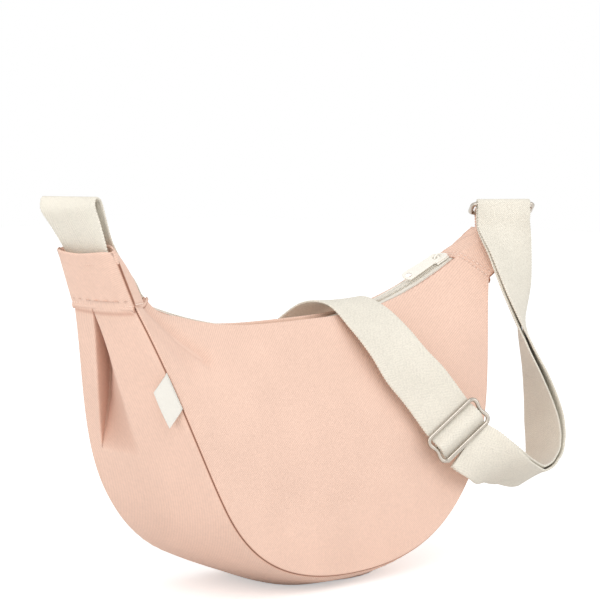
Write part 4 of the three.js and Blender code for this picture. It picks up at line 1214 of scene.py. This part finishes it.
# Ring and adjuster
def rounded_loop(width, length, radius, waist=0.0):
    """Centre line of a rounded rectangle, drawn in at the middle of its short sides."""
    points = []
    for sx, sy, turn in ((1, 1, 0), (-1, 1, 1), (-1, -1, 2), (1, -1, 3)):
        for angle in np.linspace(turn, turn + 1, 13) * math.pi / 2:
            x = sx * (width / 2 - radius) + radius * math.cos(angle)
            y = sy * (length / 2 - radius) + radius * math.sin(angle)
            points.append((x, y))
        if turn in (1, 3):
            straight = length / 2 - radius
            for t in np.linspace(1, -1, 13)[1:-1]:
                drawn = waist * (1 + math.cos(math.pi * t)) / 2
                points.append((sx * (width / 2 - drawn), sy * straight * t))
        else:
            for t in np.linspace(1, -1, 9)[1:-1]:
                points.append((t * sx * (width / 2 - radius), sy * length / 2))
    return np.array(points)


def placed(flat, origin, x_axis, y_axis):
    return origin + flat[:, :1] * x_axis + flat[:, 1:2] * y_axis


ring_loop = rounded_loop(RING_WIDTH, RING_LENGTH, RING_CORNER) + [0, RING_LENGTH / 2]
ring_path = placed(ring_loop, chape_bar, -right_tab.across, ring_rise)
ring = metal_piece("ring_wire", [tube(ring_path, RING_WIRE / 2, 16, True)], NICKEL)
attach(ring, "ring")
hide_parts("strap_ring")

adjuster_loop = rounded_loop(ADJUSTER_WIDTH, ADJUSTER_LENGTH, ADJUSTER_CORNER, ADJUSTER_WAIST)
adjuster_path = placed(adjuster_loop, ADJUSTER_CENTRE, STRAP_ACROSS, STRAP_RISE)
bar_x = np.linspace(-1, 1, 25)
bar_flat = np.stack([bar_x * (ADJUSTER_WIDTH / 2 - ADJUSTER_WAIST), np.zeros(25)], 1)
bar_path = placed(bar_flat, ADJUSTER_CENTRE, STRAP_ACROSS, STRAP_RISE)
bar_path = bar_path - STRAP_OUT * (ADJUSTER_SETBACK * (1 - np.abs(bar_x) ** 12))[:, None]
wires = [tube(adjuster_path, ADJUSTER_WIRE / 2, 16, True), tube(bar_path, ADJUSTER_BAR / 2, 14, False)]
adjuster = metal_piece("adjuster_wire", wires, NICKEL)
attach(adjuster, "adjuster")
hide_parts("strap_adjuster")


# Zip
def on_arc(angle, y, height):
    radius = ZIP_RADIUS - height
    return np.stack([ZIP_LOW_X + radius * np.sin(angle), np.broadcast_to(y, np.shape(angle)),
                     ZIP_LOW_Z + ZIP_RADIUS - radius * np.cos(angle)], -1)


def arc_angle(x):
    return math.asin((x - ZIP_LOW_X) / ZIP_RADIUS)


TAPE_TOP = -0.2
TAPE_ROWS = ((1.7, -0.15), (2.2, TAPE_TOP), (4.5, TAPE_TOP), (6.8, TAPE_TOP), (7.6, TAPE_TOP + 0.1))
TAPE_WALL = 0.7
COIL_PITCH = 1.5
COIL_WIRE = 0.3
SLIDER_X = 156
zip_left = arc_angle(ZIP_LEFT_X)
zip_right = arc_angle(ZIP_RIGHT_X)
slider_angle = arc_angle(SLIDER_X)
coil_end = slider_angle + 5 / ZIP_RADIUS

for facing, end_name in ((-1, "front"), (1, "back")):
    angle = np.linspace(zip_left, zip_right, 140)
    rows = []
    for y, height in TAPE_ROWS:
        rows.append(on_arc(angle, facing * y, height))
    points = np.stack(rows, 1)
    tape = cloth("zip_tape_" + end_name + "_cloth", points, TAPE_WALL, facing, ZIP_TAPE)
    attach(tape, "bag")
    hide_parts("zip_tape_" + end_name)
    parts = []
    count = int((coil_end - zip_left) * ZIP_RADIUS / COIL_PITCH)
    turn = np.linspace(0, 2 * np.pi, 11)
    for i in range(count):
        centre = zip_left + (i + 0.5 + 0.25 * facing) * COIL_PITCH / ZIP_RADIUS
        across = facing * (1.25 - 1.65 * np.cos(turn))
        lift = 0.75 + 0.55 * np.sin(turn)
        lead = (turn / (2 * np.pi) - 0.5) * COIL_PITCH / ZIP_RADIUS
        path = np.stack([on_arc(np.array(centre + c), y, h) for c, y, h in zip(lead, across, lift)])
        parts.append(tube(path.reshape(-1, 3), COIL_WIRE, 6, False))
    coil = metal_piece("zip_coil_" + end_name + "_turns", parts, ZIP_COIL)
    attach(coil, "bag")
    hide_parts("zip_coil_" + end_name)


def plate(name, outline, holes, thickness, bevel, transform, material):
    """A flat plate with holes and soft edges, from outlines in its own plane."""
    curve = bpy.data.curves.new(name, "CURVE")
    curve.dimensions = "2D"
    curve.fill_mode = "BOTH"
    curve.extrude = (thickness / 2 - bevel) * MM
    curve.bevel_depth = bevel * MM
    curve.bevel_resolution = 3
    for points in [outline, *holes]:
        spline = curve.splines.new("POLY")
        spline.points.add(len(points) - 1)
        for point, (x, y) in zip(spline.points, points):
            point.co = (x * MM, y * MM, 0, 1)
        spline.use_cyclic_u = True
    maker = bpy.data.objects.new(name + "_outline", curve)
    bpy.context.scene.collection.objects.link(maker)
    mesh = bpy.data.meshes.new_from_object(maker.evaluated_get(bpy.context.evaluated_depsgraph_get()))
    bpy.data.objects.remove(maker)
    mesh.transform(transform)
    mesh.name = name
    mesh.materials.clear()
    mesh.materials.append(material)
    mesh.polygons.foreach_set("use_smooth", np.ones(len(mesh.polygons), bool))
    obj = bpy.data.objects.new(name, mesh)
    bpy.context.scene.collection.objects.link(obj)
    mesh.set_sharp_from_angle(angle=math.radians(40))
    return obj


def arc_points(x, y, radius_x, radius_y, start, end, steps):
    angle = np.radians(np.linspace(start, end, steps))
    return [(x + radius_x * math.cos(a), y + radius_y * math.sin(a)) for a in angle]


def spot_matrix(origin, x_axis, z_axis):
    x = Vector(x_axis).normalized()
    z = Vector(z_axis).normalized()
    y = z.cross(x)
    matrix = Matrix((x, y, z)).transposed().to_4x4()
    matrix.translation = Vector(origin) * MM
    return matrix


slider_at = on_arc(np.array(slider_angle), 0, 0)
along = np.array([math.cos(slider_angle), 0, math.sin(slider_angle)])
upward = np.array([-math.sin(slider_angle), 0, math.cos(slider_angle)])


def slider_spot(x, height):
    return slider_at + along * x + upward * height


SLIDER_OUTLINE = arc_points(3.2, 0, 4.8, 5.5, -80, 80, 15) + arc_points(-4, 0, 4.0, 3.9, 95, 265, 15)
SLIDER_WIRE = 0.75
POST_X = 6.4
POST_RADIUS = 1.15
PULL_HEIGHT = 4.3
top_plate = plate("zip_slider_top", SLIDER_OUTLINE, [], 1.3, 0.35,
                  spot_matrix(slider_spot(0, 2.65), along, upward), ZIP_PAINT)
low_plate = plate("zip_slider_low", SLIDER_OUTLINE, [], 1.2, 0.3,
                  spot_matrix(slider_spot(0, -2.0), along, upward), ZIP_PAINT)
parts = []
for facing in (-1, 1):
    x = np.linspace(-6.5, 6.5, 14)
    y = facing * (4.0 + 0.9 * smooth(x, -4, 4) - 0.15)
    flange = np.stack([slider_spot(a, 1.2) for a in x])
    flange[:, 1] += y
    parts.append(tube(flange, SLIDER_WIRE, 10, False))
bail_turn = np.radians(np.linspace(-12, 192, 22))
bail = np.stack([slider_spot(4.1 * math.cos(a), 3.3 + 2.6 * math.sin(a)) for a in bail_turn])
parts.append(tube(bail, SLIDER_WIRE, 10, False))
for low, high in ((-1.8, -0.5), (1.9, 2.6)):
    post = np.stack([slider_spot(POST_X, h) for h in np.linspace(low, high, 4)])
    parts.append(tube(post, POST_RADIUS, 12, False))
slider_body = metal_piece("zip_slider_bail", parts, ZIP_PAINT)
for piece in (top_plate, low_plate, slider_body):
    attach(piece, "slider")
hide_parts("zip_slider")

PULL_LIFT = math.radians(4.5)
PULL_ROLL = math.radians(34)
pull_at = slider_spot(0, PULL_HEIGHT)
pull_turn = slider_angle - PULL_LIFT
pull_along = (math.cos(pull_turn), 0, math.sin(pull_turn))
pull_up = (-math.sin(pull_turn) * math.cos(PULL_ROLL), -math.sin(PULL_ROLL),
           math.cos(pull_turn) * math.cos(PULL_ROLL))
outline = [(0.7, -3.1), (0.7, 3.1), (-2, 3.6), (-8, 3.3), (-20, 3.6)]
outline += arc_points(-36.2, 0, 3.8, 4.0, 90, 270, 17)
outline += [(-20, -3.6), (-8, -3.3), (-2, -3.6)]
window = [(-0.7, -1.5), (-0.7, 1.5), (-5.7, 1.5), (-5.7, -1.5)]
eye = arc_points(-35, 0, 3.3, 2.2, 0, 345, 24)
pull = plate("zip_pull_tongue", outline, [window, eye], 1.2, 0.3, spot_matrix(pull_at, pull_along, pull_up),
             ZIP_PAINT)
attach(pull, "pull")
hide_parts("zip_pull")


# Side label: a bare folded tape caught in the front seam
LABEL_LENGTH = 27
LABEL_REACH = 12
LABEL_TUCK = 2
LABEL_DROOP = math.radians(55)
LABEL_PLACE = 0.815
span = LABEL_LENGTH / (3 * SEAM_UPPER_HANDLE)
rows = []
for s in np.linspace(0, 1, 30):
    u = np.float64(-(LABEL_PLACE + mix(span, -span, s) / 2))
    seam_x, seam_z = seam_curve(u)
    out_x, out_z = seam_outward(u)
    row = []
    for reach in np.linspace(-LABEL_TUCK, LABEL_REACH, 16):
        free = max(0, reach) / LABEL_REACH
        lift = 1.0 + 4 * free + 0.7 * math.sin(s * 3.1) * free
        row.append((seam_x + out_x * lift, -half_depth(u) + reach * math.cos(LABEL_DROOP),
                    seam_z + out_z * lift - reach * math.sin(LABEL_DROOP)))
    rows.append(row)
label = cloth("side_label_tape", np.array(rows, float), CLOTH_WALL, 1, LABEL_CLOTH)
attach(label, "bag")
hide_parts("side_label")


# Floor, light and camera
FLOOR_HALF = 4.0
FLOOR_GREY = 0.86
FLOOR_GLOW = 0.43
WORLD_LIGHT = 0.82
WHITE = (1, 1, 1, 1)


def seen_directly(tree):
    """1 for rays from the camera, mirrored ones and those through glass, 0 for the rest."""
    path = tree.nodes.new("ShaderNodeLightPath")
    seen = path.outputs["Is Camera Ray"]
    for kind in ("Is Glossy Ray", "Is Transmission Ray"):
        either = tree.nodes.new("ShaderNodeMath")
        either.operation = "MAXIMUM"
        tree.links.new(seen, either.inputs[0])
        tree.links.new(path.outputs[kind], either.inputs[1])
        seen = either.outputs[0]
    return seen


def stage_floor():
    mesh = bpy.data.meshes.new("floor")
    corners = [(x * FLOOR_HALF, y * FLOOR_HALF, 0) for x, y in ((-1, -1), (1, -1), (1, 1), (-1, 1))]
    mesh.from_pydata(corners, [], [(0, 1, 2, 3)])
    floor = bpy.data.objects.new("floor", mesh)
    bpy.context.scene.collection.objects.link(floor)
    material = new_material("floor", grey(FLOOR_GREY), 0.9, specular=0.0)
    tree = material.node_tree
    glow = tree.nodes.new("ShaderNodeEmission")
    glow.inputs["Color"].default_value = WHITE
    strength = math_node(material, "MULTIPLY", seen_directly(tree), FLOOR_GLOW)
    tree.links.new(strength, glow.inputs["Strength"])
    add = tree.nodes.new("ShaderNodeAddShader")
    tree.links.new(principled(material).outputs[0], add.inputs[0])
    tree.links.new(glow.outputs[0], add.inputs[1])
    tree.links.new(add.outputs[0], tree.nodes["Material Output"].inputs["Surface"])
    mesh.materials.append(material)


def stage_world():
    world = bpy.data.worlds.new("studio")
    bpy.context.scene.world = world
    world.use_nodes = True
    tree = world.node_tree
    light = tree.nodes["Background"]
    white = tree.nodes.new("ShaderNodeBackground")
    for background, strength in ((light, WORLD_LIGHT), (white, 1)):
        background.inputs["Color"].default_value = WHITE
        background.inputs["Strength"].default_value = strength
    choose = tree.nodes.new("ShaderNodeMixShader")
    tree.links.new(seen_directly(tree), choose.inputs[0])
    tree.links.new(light.outputs[0], choose.inputs[1])
    tree.links.new(white.outputs[0], choose.inputs[2])
    tree.links.new(choose.outputs[0], tree.nodes["World Output"].inputs["Surface"])


LAMP_TARGET = (0, 0, 0.12)


def area_light(name, place, size, power):
    lamp = bpy.data.lights.new(name, "AREA")
    lamp.shape = "DISK"
    lamp.size = size
    lamp.energy = power
    obj = bpy.data.objects.new(name, lamp)
    obj.location = place
    obj.rotation_euler = (Vector(LAMP_TARGET) - Vector(place)).to_track_quat("-Z", "Y").to_euler()
    bpy.context.scene.collection.objects.link(obj)


stage_floor()
stage_world()
area_light("key", (-1.5, -1.8, 1.9), 1.6, 16)
area_light("side", (-2.5, -0.3, 0.9), 1.8, 15)
area_light("fill", (1.0, -2.3, 0.9), 1.6, 9)

VIEW_BACK = unit(np.array([-0.7321, -0.6766, 0.0791]))
VIEW_RIGHT = unit(np.array([0.6788, -0.7343, 0]))
VIEW_UP = np.cross(VIEW_BACK, VIEW_RIGHT)
CAMERA_PLACE = (-1.196, -1.1096, 0.3232)
CAMERA_LENS = 141.58
lens = bpy.data.cameras.new("camera")
lens.sensor_width = 36
lens.lens = CAMERA_LENS
camera = bpy.data.objects.new("camera", lens)
basis = Matrix([VIEW_RIGHT.tolist(), VIEW_UP.tolist(), VIEW_BACK.tolist()]).transposed().to_4x4()
basis.translation = Vector(CAMERA_PLACE)
camera.matrix_world = basis
bpy.context.scene.collection.objects.link(camera)
bpy.context.scene.camera = camera
bpy.context.scene.view_settings.view_transform = "Standard"
